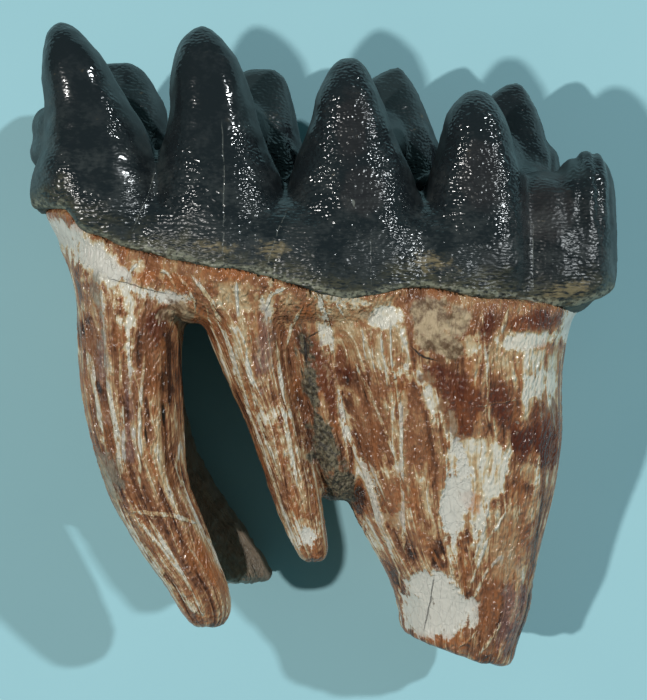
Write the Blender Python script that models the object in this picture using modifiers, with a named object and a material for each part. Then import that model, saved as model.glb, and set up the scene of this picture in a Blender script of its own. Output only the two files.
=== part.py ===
"""A fossil mastodon molar: an upper third molar with four lophs, a heel and its roots.

The tooth is one grown piece, so it is one solid. It lies on its tongue side with its cheek side up.
Blender units are metres; the tables below are in millimetres. +X runs towards the back of the jaw, +Y
towards the biting surface and +Z up, away from the surface that the tooth lies on. The origin is on
that surface, under the middle of the tooth's box.
"""

import math

import bmesh
import bpy
import numpy as np
from mathutils import Vector, noise

MM = 0.001

# Driving dimensions, in millimetres
CROWN_LENGTH = 176.0  # front end to heel
CROWN_WIDTH = 92.0  # cheek side to tongue side, at the swelling above the neck
CROWN_MIDDLE = (0.6, 46.0)  # X and Z of the crown's middle
STOCK_SHIFT = -2.8  # the root stock stands further forward than the crown
HEEL_TAPER = 0.27  # share of the width lost at the heel end
CORNER_POWER = 3.0  # 2 is an ellipse, more is squarer
VALLEY_FLOOR = 46.0  # Y of the valleys between the lophs, at X = 0
VALLEY_SLOPE = -0.05
GROOVE_DEPTH = 3.2
GROOVE_WIDTH = 9.0
CHEEK_GROOVES = (-49.0, -11.0, 28.0, 59.0)  # X of the upright grooves between lophs
TONGUE_GROOVES = (-38.0, 3.0, 43.0, 70.0)

# The neck, where the enamel ends, and the line where the root stock ends: (X, Y), front to back
NECK_LINE = (
    (-90, 42), (-80, 41), (-73.5, 39.8), (-71.5, 36.5), (-69.5, 34.6), (-58, 30), (-40, 25), (-20, 22),
    (-4, 17), (10, 15), (27, 18), (45, 15), (65, 13), (78, 14), (90, 19.5),
)
STOCK_LINE = ((-90, 26), (-75, 18), (-55, 10), (-38, 8.5), (-20, 7), (-6, 8), (6, 6), (20, 7), (90, 3))

# The swelling of the enamel: (share of the height from neck to valley floor, inset at the ends, at the sides)
CROWN_RINGS = (
    (-0.12, 22, 20), (-0.05, 7, 6), (0.0, 2, 2.4), (0.1, 0.6, 1.5), (0.34, 0, 1.4), (0.62, 0.8, 3.4),
    (0.82, 4, 8), (0.95, 11, 14), (1.0, 25, 25),
)
# The root stock below the neck: (share of the way from the neck to its end, inset at the ends, at the sides)
STOCK_RINGS = (
    (-1.0, 18, 16), (-0.3, 8, 5.6), (0.0, 6.4, 3.2), (0.35, 9.5, 5.4), (0.75, 13.5, 9.6), (0.93, 17, 15),
    (1.0, 23, 22),
)

# Cusps: tip (X, Y, Z), then (depth below the tip, X of the middle, half width along X)
CHEEK_CUSPS = (
    ((-75.7, 95.4, 75.5), (
        (1.5, -75.5, 3.5), (5, -74.6, 6.1), (11, -72.5, 9), (16.5, -71.2, 10.8), (22, -69.4, 12.2),
        (28, -67.2, 14.3), (34, -66, 16), (42, -65, 18), (52, -65.5, 20.5), (62, -66, 20),
    )),
    ((-35, 94.2, 75.5), (
        (1.6, -35, 4.1), (6.4, -34.9, 7.6), (11.6, -34, 10), (17.4, -33.2, 11.6), (26, -32, 12.8),
        (35, -31.6, 15.5), (43, -30.6, 18.5), (55, -30.5, 20.5), (68, -30.5, 20),
    )),
    ((7.3, 85.2, 75), (
        (1.1, 7.2, 3.8), (5.6, 7.1, 6.7), (11, 7.1, 9.1), (17, 7.7, 11.2), (22.5, 7.8, 13.1),
        (28, 7.8, 15.2), (35, 8.3, 18), (46, 8.6, 20.5), (60, 9, 21), (68, 9, 20),
    )),
    ((44.8, 76.2, 71.5), (
        (1.2, 44.4, 4.2), (4.8, 44.3, 7), (8.2, 44.2, 8.8), (14, 44.6, 10.5), (19, 44.8, 11.9),
        (25, 45.1, 14.2), (37, 45, 16.8), (50, 45, 17.5), (59, 45, 17),
    )),
)
TONGUE_CUSPS = (
    ((-65, 91, 33), (
        (0.8, -65, 5.5), (4, -64.5, 9), (10, -64.5, 12.6), (15, -64.5, 15), (26, -65, 17), (45, -63, 21),
        (62, -63, 21),
    )),
    ((-20, 89, 33), (
        (0.7, -20, 5.3), (2.5, -20, 7.8), (6.5, -21, 10.4), (13, -22, 13), (24, -22, 15.5), (40, -20, 20),
        (66, -18, 21.5),
    )),
    ((23.5, 89.4, 33), (
        (0.9, 23, 2.3), (2.6, 21.4, 5.2), (6.4, 20.5, 8.4), (11, 20, 11), (16.5, 20, 13), (23, 20.5, 15.3),
        (40, 22, 19.5), (70, 23, 21),
    )),
    ((60.4, 84.7, 33), (
        (1, 60, 3.2), (4.5, 58.8, 6.3), (10, 58.2, 9.4), (16.5, 58, 11.9), (21, 58, 14), (25, 58.5, 16.4),
        (40, 59, 17), (68, 58, 16),
    )),
)
# The heel: a low cross ridge, and the lobe between it and the last cheek cusp
HEEL_CUSPS = (
    ((79.2, 60, 60), (
        (1, 79.2, 3.4), (3, 78.6, 6), (7, 77.4, 8.6), (12, 76.6, 10.8), (18, 75, 12.8), (26, 74, 14.2),
        (38, 73, 15.3), (47, 73, 15),
    )),
    ((64.5, 53.5, 62), (
        (1, 64.5, 4.5), (3, 64.8, 7.6), (7, 65, 10.5), (14, 65.5, 12.5), (24, 66, 13.5), (38, 66, 13.5),
    )),
)
# How far a cusp's faces stand from its tip: (share of the way down to the neck, outwards, inwards)
CHEEK_FACES = (
    (0, 0, 0), (0.03, 3.6, 2.7), (0.08, 6.8, 5.5), (0.15, 9.6, 9), (0.22, 10.4, 12), (0.3, 10.4, 15),
    (0.42, 10.3, 19), (0.55, 11.2, 23.5), (0.7, 13.0, 28), (0.85, 12.8, 30), (1.0, 9.5, 28),
)
TONGUE_FACES = (
    (0, 0, 0), (0.03, 2.8, 2.5), (0.08, 5.2, 5), (0.15, 8.2, 8), (0.25, 12.5, 11.5), (0.4, 19, 15.5),
    (0.6, 27, 19), (0.8, 34.2, 22), (0.92, 35, 24), (1.0, 31, 24),
)
HEEL_FACES = (
    (0, 0, 0), (0.05, 6, 9), (0.15, 10.5, 16), (0.3, 13.5, 22), (0.5, 15.5, 26), (0.75, 16, 29),
    (0.92, 15, 29), (1.0, 12, 26),
)
FACE_FURROW = 0.35  # depth of the shallow furrow down the outer face of each cusp
CUSP_SQUARENESS = 0.4  # added to the section's power at the neck

# Ridge that joins each pair of cusps: (share of the way across, dip below the tips, size)
RIDGE_LINE = ((0.2, 17, 0.55), (0.35, 17, 0.9), (0.65, 16, 1.0), (0.85, 11, 0.8))
RIDGE_HALF_X = 8.0
RIDGE_HALF_Y = 12.0

# Lumps fused to the tooth: centre, half sizes
LUMPS = (
    ((70, 38, 27), (15, 20, 15)),  # tongue corner of the heel
    ((60.5, 43, 46), (13, 14.5, 15)),  # saddle between the last ridge and the heel
    ((-79.5, 67, 54), (8.6, 7.5, 16)),  # front shelf, in three knobs and a base
    ((-80, 59.5, 50), (9.3, 6.5, 20)),
    ((-78, 54, 40), (9.5, 11, 26)),
    ((-79, 46, 52), (9.3, 7, 20)),
    ((-47, 48, 51), (7, 11, 9)),  # small cusps in the valleys
    ((-5, 46, 52), (7, 11, 9)),
    ((34, 44, 51), (7, 10, 9)),
    ((35, 9.5, 78.8), (9.5, 10.5, 5)),  # crust on the neck
)

# Roots: (X, Y, Z, half width along X, half width along Z) down each root
FRONT_CHEEK_ROOT = (
    (-57, 30, 57, 20.5, 24), (-57, 18, 59, 16.8, 23.8), (-57.4, 6, 59.5, 15.2, 21.4),
    (-57.5, -4, 59, 14.8, 18.4), (-57, -16, 58, 14.4, 16.5), (-55.8, -28, 56, 13.4, 15),
    (-53.5, -40, 53, 12.4, 14), (-49.2, -51, 51, 12, 13.2), (-44.2, -62, 49, 11, 12.3),
    (-38.8, -72, 47, 9.4, 11), (-36.3, -79, 45.5, 7.8, 8.8), (-35.6, -82.5, 45, 6, 6.6),
)
FRONT_TONGUE_ROOT = (
    (-58, 28, 27, 18, 24), (-60, 12, 26, 15.4, 21.5), (-60.5, -5, 24, 14.2, 18.5),
    (-58.5, -20, 22, 13.6, 16.5), (-54.5, -32, 20, 13, 15.5), (-48, -45, 18, 12.8, 14.5),
    (-40.3, -56, 16.3, 12.8, 13.6), (-33, -66, 15.3, 12.4, 12.6), (-28.6, -73, 15, 11.4, 10.8),
)
MIDDLE_ROOT = (
    (-25, 26, 60, 17, 20), (-22.8, 12, 62, 14.2, 20.6), (-20.5, 0, 62, 11.8, 16.2),
    (-18, -10, 60.5, 10.2, 13.8), (-14.4, -21, 59, 8.9, 12), (-11, -33, 57.5, 7.7, 10),
    (-7.8, -45, 56, 6.8, 8.6), (-4.9, -56, 54.5, 5.4, 6.8), (-3.2, -61.5, 54, 4.2, 5),
)
BACK_CHEEK_ROOT = (
    (32, 26, 48, 43, 32), (33, 12, 49.5, 43, 34.4), (34, 0, 48.5, 39, 32.6), (35, -12, 47, 37.2, 30),
    (36.6, -25, 44.5, 36, 27), (38, -38, 42, 33.4, 24.8), (39.4, -50, 39.5, 30.2, 22.8),
    (41.2, -61, 37.2, 25.8, 20.8), (42.8, -70, 35.5, 22.6, 19.4), (44, -80, 33.5, 20.4, 17.5),
    (42.8, -90, 32, 18.2, 15.8), (42.5, -99, 31, 16.5, 14),
)
BACK_TONGUE_ROOT = (
    (30, 24, 26, 40, 22), (31, 8, 24, 37, 21), (32, -10, 22, 31, 19.5), (34, -28, 19.5, 27, 18),
    (36, -45, 16.4, 22.5, 16.5), (38, -60, 14.2, 19, 14.5), (40, -72, 12.8, 15, 12.5),
    (41, -79, 12.5, 11, 10),
)
ROOT_WEB = (
    (-4, 16, 57, 13, 22.5), (-3.4, 6, 56, 12, 20.5), (-1.4, -8, 53.5, 10.2, 17.6), (1.2, -24, 51, 8.6, 15),
    (3.8, -36, 48.5, 7.7, 13), (4.8, -43, 46.5, 6.5, 10),
)
# Length of each root's rounded tip, past its last row
ROOTS = (
    ("front_cheek_root", FRONT_CHEEK_ROOT, 2.8),
    ("front_tongue_root", FRONT_TONGUE_ROOT, 2.5),
    ("middle_root", MIDDLE_ROOT, 2.5),
    ("back_cheek_root", BACK_CHEEK_ROOT, 3.0),
    ("back_tongue_root", BACK_TONGUE_ROOT, 5.0),
    ("root_web", ROOT_WEB, 3.5),
)
ROOT_POWERS = {"back_cheek_root": 2.5}  # squarer than the others
PLAIN_ROOT_POWER = 2.2
TIP_RINGS = ((0.45, 0.9), (0.8, 0.66))  # share of the tip's length, share of the last row's width

# Broken end of the big back root: a plane through this point, sloping down towards the back
BREAK_POINT = (39.0, -93.6, 46.0)
BREAK_NORMAL = (0.32, 0.95, 0.05)

# Root surface
RIBS_ACROSS = 9.0  # spacing of the long ribs
RIB_HEIGHT = 0.7
LUMP_SPACING = 21.0
LUMP_HEIGHT = 0.7
FADE_BELOW_NECK = 10.0

# Meshing
SIDES = 40
VOXEL = 1.5
SMOOTH_PASSES = 9
TRIANGLES = 8200
REST_LEVEL = 0.8  # what lies below this Z is flattened, where the tooth touches the surface
SNAP = 0.08  # points this near the surface are set on it

FOSSIL_COLOUR = (0.13, 0.075, 0.05, 1.0)


def curve_through(points, steps):
    """Catmull-Rom points through a table of rows, steps to each span."""
    rows = np.array(points, float)
    padded = np.vstack([2 * rows[0] - rows[1], rows, 2 * rows[-1] - rows[-2]])
    found = []
    for i in range(1, len(padded) - 2):
        a, b, c, d = padded[i - 1 : i + 3]
        for t in np.arange(steps) / steps:
            bend = (2 * a - 5 * b + 4 * c - d) * t**2 + (3 * b - a - 3 * c + d) * t**3
            found.append(0.5 * (2 * b + (c - a) * t + bend))
    return np.array(found + [rows[-1]])


def power_circle(power):
    """Cosine and sine round a section, squared off by the power: 2 is an ellipse."""
    angle = np.arange(SIDES) * 2 * math.pi / SIDES
    c, s = np.cos(angle), np.sin(angle)
    return np.sign(c) * abs(c) ** (2 / power), np.sign(s) * abs(s) ** (2 / power)


def skin(name, rings, first_tip, last_tip):
    """A closed mesh through rings of equal length, with a point at each end, in metres."""
    count = len(rings[0])
    corners = [np.array(first_tip)[None], *rings, np.array(last_tip)[None]]
    mesh = bpy.data.meshes.new(name)
    shape = bmesh.new()
    verts = [shape.verts.new(p * MM) for ring in corners for p in ring]
    last = len(verts) - 1
    for i in range(count):
        j = (i + 1) % count
        shape.faces.new((verts[0], verts[1 + i], verts[1 + j]))
        shape.faces.new((verts[last], verts[last - count + j], verts[last - count + i]))
        for r in range(len(rings) - 1):
            a = 1 + r * count
            shape.faces.new((verts[a + i], verts[a + count + i], verts[a + count + j], verts[a + j]))
    bmesh.ops.recalc_face_normals(shape, faces=shape.faces)
    shape.to_mesh(mesh)
    shape.free()
    obj = bpy.data.objects.new(name, mesh)
    moulds.objects.link(obj)
    return obj


def height_at(line, x):
    """Y of a line at each X, a smooth curve through its points."""
    curve = curve_through(line, 8)
    return np.interp(x, curve[:, 0], curve[:, 1])


def crown_outline(inset_x, inset_z, shift_x=0.0):
    """X and Z round the crown: a squared ellipse that tapers to the heel, with the grooves between lophs."""
    c, s = power_circle(CORNER_POWER)
    x = CROWN_MIDDLE[0] + shift_x + (CROWN_LENGTH / 2 - inset_x) * c
    heel = np.clip((x - 5) / 85, 0, 1) ** 1.5
    half = CROWN_WIDTH / 2 * (1 - HEEL_TAPER * heel) - inset_z
    for grooves, side in ((CHEEK_GROOVES, s > 0), (TONGUE_GROOVES, s < 0)):
        for groove in grooves:
            half = half - side * GROOVE_DEPTH * np.exp(-(((x - groove) / GROOVE_WIDTH) ** 2))
    return x, CROWN_MIDDLE[1] + half * s


def crown_body():
    """The crown from the neck to the valley floors, below the cusps."""
    rings = []
    for share, inset_x, inset_z in CROWN_RINGS:
        x, z = crown_outline(inset_x, inset_z)
        low, high = height_at(NECK_LINE, x), VALLEY_FLOOR + VALLEY_SLOPE * x
        rings.append(np.stack([x, low + (high - low) * share, z], axis=1))
    return skin("crown_body", rings, rings[0].mean(0), rings[-1].mean(0))


def root_stock():
    """The root stock just below the neck, which the roots grow from."""
    rings = []
    for share, inset_x, inset_z in STOCK_RINGS:
        x, z = crown_outline(inset_x, inset_z, STOCK_SHIFT)
        high, low = height_at(NECK_LINE, x), height_at(STOCK_LINE, x)
        rings.append(np.stack([x, high + (low - high) * share, z], axis=1))
    return skin("root_stock", rings, rings[0].mean(0), rings[-1].mean(0))


def cusp(name, tip, levels, faces, outward):
    """A cusp from its tip down to the neck, steep outside, sloping inside, squarer lower down."""
    faces = np.array(faces, float)
    first_depth, first_x, first_half = levels[0]
    rounding = [
        (first_depth * k * k, tip[0] + (first_x - tip[0]) * k, first_half * k) for k in (0.25, 0.5, 0.75)
    ]
    rings = []
    for depth, x, half_x in rounding + curve_through(levels, 3).tolist():
        share = depth / (tip[1] - height_at(NECK_LINE, x))
        top = faces[1, 0]
        row = math.sqrt(share / top) * top if share < top else share
        out, back = np.interp(row, faces[:, 0], faces[:, 1]), np.interp(row, faces[:, 0], faces[:, 2])
        c, s = power_circle(2.0 + CUSP_SQUARENESS * min(share, 1.0))
        z = tip[2] + outward * ((out - back) / 2 + (out + back) / 2 * s)
        furrow = FACE_FURROW * np.exp(-((c / 0.22) ** 2)) * (s > 0) * math.sin(math.pi * min(share, 1.0))
        across = x + half_x * c
        tilt = (height_at(NECK_LINE, across) - height_at(NECK_LINE, x)) * min(share, 1.0) ** 2
        rings.append(np.stack([across, tip[1] - depth + tilt, z - outward * furrow], axis=1))
    return skin(name, rings, tip, rings[-1].mean(0))


def loph_ridge(name, cheek_tip, tongue_tip):
    """The ridge across the crown that joins a cheek cusp to its tongue cusp."""
    c, s = power_circle(2.0)
    start, end = np.array(cheek_tip, float), np.array(tongue_tip, float)
    rows = [(*(start + (end - start) * share), dip, size) for share, dip, size in RIDGE_LINE]
    rings = []
    for x, y, z, dip, size in curve_through(rows, 4):
        half_x, half_y = RIDGE_HALF_X * size, RIDGE_HALF_Y * size
        rings.append(np.stack([x + half_x * c, y - dip - half_y + half_y * s, np.full(SIDES, z)], axis=1))
    return skin(name, rings, rings[0].mean(0), rings[-1].mean(0))


def root(name, levels, tip_length):
    """A root as oval sections down a path, with a rounded tip."""
    c, s = power_circle(ROOT_POWERS.get(name, PLAIN_ROOT_POWER))
    path = curve_through(levels, 3)
    heading = path[-1, :3] - path[-2, :3]
    heading /= np.linalg.norm(heading)
    rings = [np.stack([x + hx * c, np.full(SIDES, y), z + hz * s], axis=1) for x, y, z, hx, hz in path]
    end = path[-1]
    for share, narrow in TIP_RINGS:
        x, y, z = end[:3] + heading * tip_length * share
        rings.append(np.stack([x + end[3] * narrow * c, np.full(SIDES, y), z + end[4] * narrow * s], axis=1))
    return skin(name, rings, rings[0].mean(0), end[:3] + heading * tip_length)


def lump(name, centre, half_sizes):
    """A small rounded lump: a sphere stretched to size."""
    mesh = bpy.data.meshes.new(name)
    shape = bmesh.new()
    bmesh.ops.create_uvsphere(shape, u_segments=24, v_segments=16, radius=1.0)
    bmesh.ops.scale(shape, vec=Vector(half_sizes) * MM, verts=shape.verts)
    bmesh.ops.translate(shape, vec=Vector(centre) * MM, verts=shape.verts)
    shape.to_mesh(mesh)
    shape.free()
    obj = bpy.data.objects.new(name, mesh)
    moulds.objects.link(obj)
    return obj


def close_cut(shape):
    """Fills the open loops that a cut leaves, and turns every face outwards."""
    bmesh.ops.holes_fill(shape, edges=[e for e in shape.edges if e.is_boundary], sides=0)
    bmesh.ops.triangulate(shape, faces=[f for f in shape.faces if len(f.verts) > 4])
    bmesh.ops.recalc_face_normals(shape, faces=shape.faces)


def break_off(obj, point, normal):
    """Cuts a piece off square at a plane, keeping the side that the normal points to."""
    shape = bmesh.new()
    shape.from_mesh(obj.data)
    bmesh.ops.bisect_plane(
        shape, geom=shape.verts[:] + shape.edges[:] + shape.faces[:],
        plane_co=Vector(point) * MM, plane_no=Vector(normal), clear_inner=True,
    )
    close_cut(shape)
    shape.to_mesh(obj.data)
    shape.free()


def fuse(pieces):
    """One skin over all the overlapping pieces, evenly meshed and softened where they meet."""
    shape = bmesh.new()
    for piece in pieces:
        shape.from_mesh(piece.data)
    mesh = bpy.data.meshes.new("tooth")
    shape.to_mesh(mesh)
    shape.free()
    obj = bpy.data.objects.new("tooth", mesh)
    model.objects.link(obj)
    remesh = obj.modifiers.new("one_skin", "REMESH")
    remesh.mode = "VOXEL"
    remesh.voxel_size = VOXEL * MM
    soften = obj.modifiers.new("soften", "SMOOTH")
    soften.factor = 0.5
    soften.iterations = SMOOTH_PASSES
    settle(obj)
    return obj


def settle(obj):
    """Makes an object's modifiers part of its mesh."""
    graph = bpy.context.evaluated_depsgraph_get()
    mesh = bpy.data.meshes.new_from_object(obj.evaluated_get(graph))
    obj.modifiers.clear()
    obj.data = mesh


def raise_ribs(obj):
    """Long ribs and low lumps on the roots, fading out at the neck."""
    mesh = obj.data
    count = len(mesh.vertices)
    points, normals = np.empty(count * 3), np.empty(count * 3)
    mesh.vertices.foreach_get("co", points)
    mesh.vertex_normals.foreach_get("vector", normals)
    points, normals = points.reshape(-1, 3) / MM, normals.reshape(-1, 3)
    below = np.clip((height_at(NECK_LINE, points[:, 0]) - points[:, 1]) / FADE_BELOW_NECK, 0, 1)
    fan = 1 + 0.35 * np.clip(-points[:, 1] / 80, 0, 1)
    across = points * np.stack([fan, np.full(count, 0.12), fan], axis=1) / RIBS_ACROSS
    ribs = np.array([noise.noise(Vector(p)) for p in across])
    lumps = np.array([noise.noise(Vector(p)) for p in points / LUMP_SPACING])
    rise = below * (RIB_HEIGHT * (1 - 4 * abs(ribs)) + LUMP_HEIGHT * lumps)
    mesh.vertices.foreach_set("co", ((points + normals * rise[:, None]) * MM).ravel())
    mesh.update()


def thin_out(obj):
    """Fewer triangles, most of them kept where the surface bends."""
    fewer = obj.modifiers.new("fewer_triangles", "DECIMATE")
    fewer.ratio = TRIANGLES / (2 * len(obj.data.polygons))
    fewer.use_collapse_triangulate = True
    settle(obj)


def lay_down(obj):
    """Sets the tooth on the surface at Z = 0, flat where it touches, with its box centred on the origin."""
    shape = bmesh.new()
    shape.from_mesh(obj.data)
    bmesh.ops.translate(shape, vec=(0, 0, -REST_LEVEL * MM), verts=shape.verts)
    for vert in shape.verts:
        if abs(vert.co.z) < SNAP * MM:
            vert.co.z = 0.0
    bmesh.ops.bisect_plane(
        shape, geom=shape.verts[:] + shape.edges[:] + shape.faces[:], dist=0.000001,
        plane_co=(0, 0, 0), plane_no=(0, 0, 1), clear_inner=True,
    )
    close_cut(shape)
    bmesh.ops.triangulate(shape, faces=[f for f in shape.faces if len(f.verts) > 3])
    xs, ys = [v.co.x for v in shape.verts], [v.co.y for v in shape.verts]
    middle = Vector(((max(xs) + min(xs)) / 2, (max(ys) + min(ys)) / 2, 0))
    bmesh.ops.translate(shape, vec=-middle, verts=shape.verts)
    print("the box's middle was at", middle / MM)
    shape.to_mesh(obj.data)
    shape.free()


def paint(obj):
    """Dark brown fossil, as hard and smooth as glazed stone."""
    made = bpy.data.materials.new("fossil_tooth")
    made.use_nodes = True
    surface = made.node_tree.nodes["Principled BSDF"]
    surface.inputs["Base Color"].default_value = FOSSIL_COLOUR
    surface.inputs["Roughness"].default_value = 0.3
    surface.inputs["Metallic"].default_value = 0.0
    obj.data.materials.clear()
    obj.data.materials.append(made)
    obj.data.shade_smooth()
    obj.data.set_sharp_from_angle(angle=math.radians(50))


def clear_scene():
    for old in list(bpy.data.objects):
        bpy.data.objects.remove(old)
    made = [bpy.data.collections.new(n) for n in ("mastodon_tooth", "moulds")]
    for collection in made:
        bpy.context.scene.collection.children.link(collection)
    return made


def cusp_moulds():
    """Each cheek cusp, its tongue cusp and the ridge between them, then the heel."""
    made = []
    for number, (cheek, tongue) in enumerate(zip(CHEEK_CUSPS, TONGUE_CUSPS)):
        made.append(cusp(f"cheek_cusp_{number}", *cheek, CHEEK_FACES, 1))
        made.append(cusp(f"tongue_cusp_{number}", *tongue, TONGUE_FACES, -1))
        made.append(loph_ridge(f"loph_ridge_{number}", cheek[0], tongue[0]))
    made += [cusp(f"heel_cusp_{number}", *heel, HEEL_FACES, 1) for number, heel in enumerate(HEEL_CUSPS)]
    return made


def root_moulds():
    """Every root, with the big back one broken off at its end."""
    made = []
    for name, levels, tip_length in ROOTS:
        made.append(root(name, levels, tip_length))
        if name == "back_cheek_root":
            break_off(made[-1], BREAK_POINT, BREAK_NORMAL)
    return made


model, moulds = clear_scene()
pieces = [crown_body(), root_stock()] + cusp_moulds() + root_moulds()
pieces += [lump(f"lump_{number}", centre, half) for number, (centre, half) in enumerate(LUMPS)]
tooth = fuse(pieces)
for piece in pieces:
    bpy.data.objects.remove(piece)
raise_ribs(tooth)
thin_out(tooth)
lay_down(tooth)
paint(tooth)
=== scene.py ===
import itertools
import math

import bpy
import numpy as np
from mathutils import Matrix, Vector


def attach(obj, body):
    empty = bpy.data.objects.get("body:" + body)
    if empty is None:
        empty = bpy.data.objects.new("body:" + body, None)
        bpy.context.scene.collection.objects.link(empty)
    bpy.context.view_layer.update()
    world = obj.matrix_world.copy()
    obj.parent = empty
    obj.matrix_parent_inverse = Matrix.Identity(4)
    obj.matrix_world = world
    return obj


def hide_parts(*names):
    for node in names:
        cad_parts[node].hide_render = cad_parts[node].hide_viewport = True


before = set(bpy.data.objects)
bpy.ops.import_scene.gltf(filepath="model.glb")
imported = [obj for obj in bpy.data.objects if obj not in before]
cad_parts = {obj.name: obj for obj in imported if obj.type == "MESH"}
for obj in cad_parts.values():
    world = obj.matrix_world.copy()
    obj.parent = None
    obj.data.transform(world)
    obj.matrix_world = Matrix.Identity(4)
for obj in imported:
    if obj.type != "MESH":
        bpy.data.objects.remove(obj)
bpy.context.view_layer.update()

# A fossil mastodon molar on a pale floor, lying on its tongue side.
# The tables are in millimetres: X towards the back of the jaw, Y towards the biting surface, Z up.
# Two closed pieces are made: the black enamel crown, and the root mass that it sits on.

mm = 0.001
tableShift = np.array([0.238, 2.536, -0.8])  # from the tables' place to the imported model's place
sides = 64  # points round each section
pathSteps = 4  # sections to each span between two rows of a table
lineSteps = 8  # points to each span of the neck's line and the stock's line
ballRings = 16  # rings of latitude on a lump
softenFactor = 0.5  # share of the way that a point moves to its neighbours' middle at each pass

# The neck, where the enamel ends, and the line where the root stock ends: X, Y
neckLine = ((-90, 42), (-80, 41), (-73.5, 39.8), (-71.5, 36.5), (-69.5, 34.6), (-58, 30), (-40, 25),
            (-20, 22), (-4, 17), (10, 15), (27, 18), (45, 15), (65, 13), (78, 14), (90, 19.5))
stockLine = ((-90, 26), (-75, 18), (-55, 10), (-38, 8.5), (-20, 7), (-6, 8), (6, 6), (20, 7), (90, 3))

crownShape = {
    "length": 176.0,
    "width": 92.0,
    "middle": (0.6, 46.0),  # X, Z
    "stockShift": -2.8,  # the root stock stands further forward than the crown
    "heelTaper": 0.27,  # share of the width that is gone at the heel
    "heelFrom": 5.0,  # the taper starts at this X
    "heelReach": 85.0,
    "heelPower": 1.5,
    "cornerPower": 3.0,
    "valleyFloor": 46.0,
    "valleySlope": -0.05,
    "grooveDepth": 3.2,
    "grooveWidth": 9.0,
    "cheekGrooves": (-49.0, -11.0, 28.0, 59.0),
    "tongueGrooves": (-38.0, 3.0, 43.0, 70.0),
    # share of the height from neck to valley floor, inset at the ends, inset at the sides
    "rings": ((-0.26, 22, 20), (-0.17, 8, 7), (-0.09, 2.8, 3.4), (0.0, 1.6, 2.2), (0.1, 0.6, 1.5),
              (0.34, 0, 1.4), (0.62, 0.8, 3.4), (0.82, 4, 8), (0.95, 11, 14), (1.0, 25, 25)),
    # the same, from the neck's line to the stock's line
    "stockRings": ((-1.0, 18, 16), (-0.3, 8, 5.6), (0.0, 5.6, 3.0), (0.35, 9.5, 5.4), (0.75, 13.5, 9.6),
                   (0.93, 17, 15), (1.0, 23, 22)),
}

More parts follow.
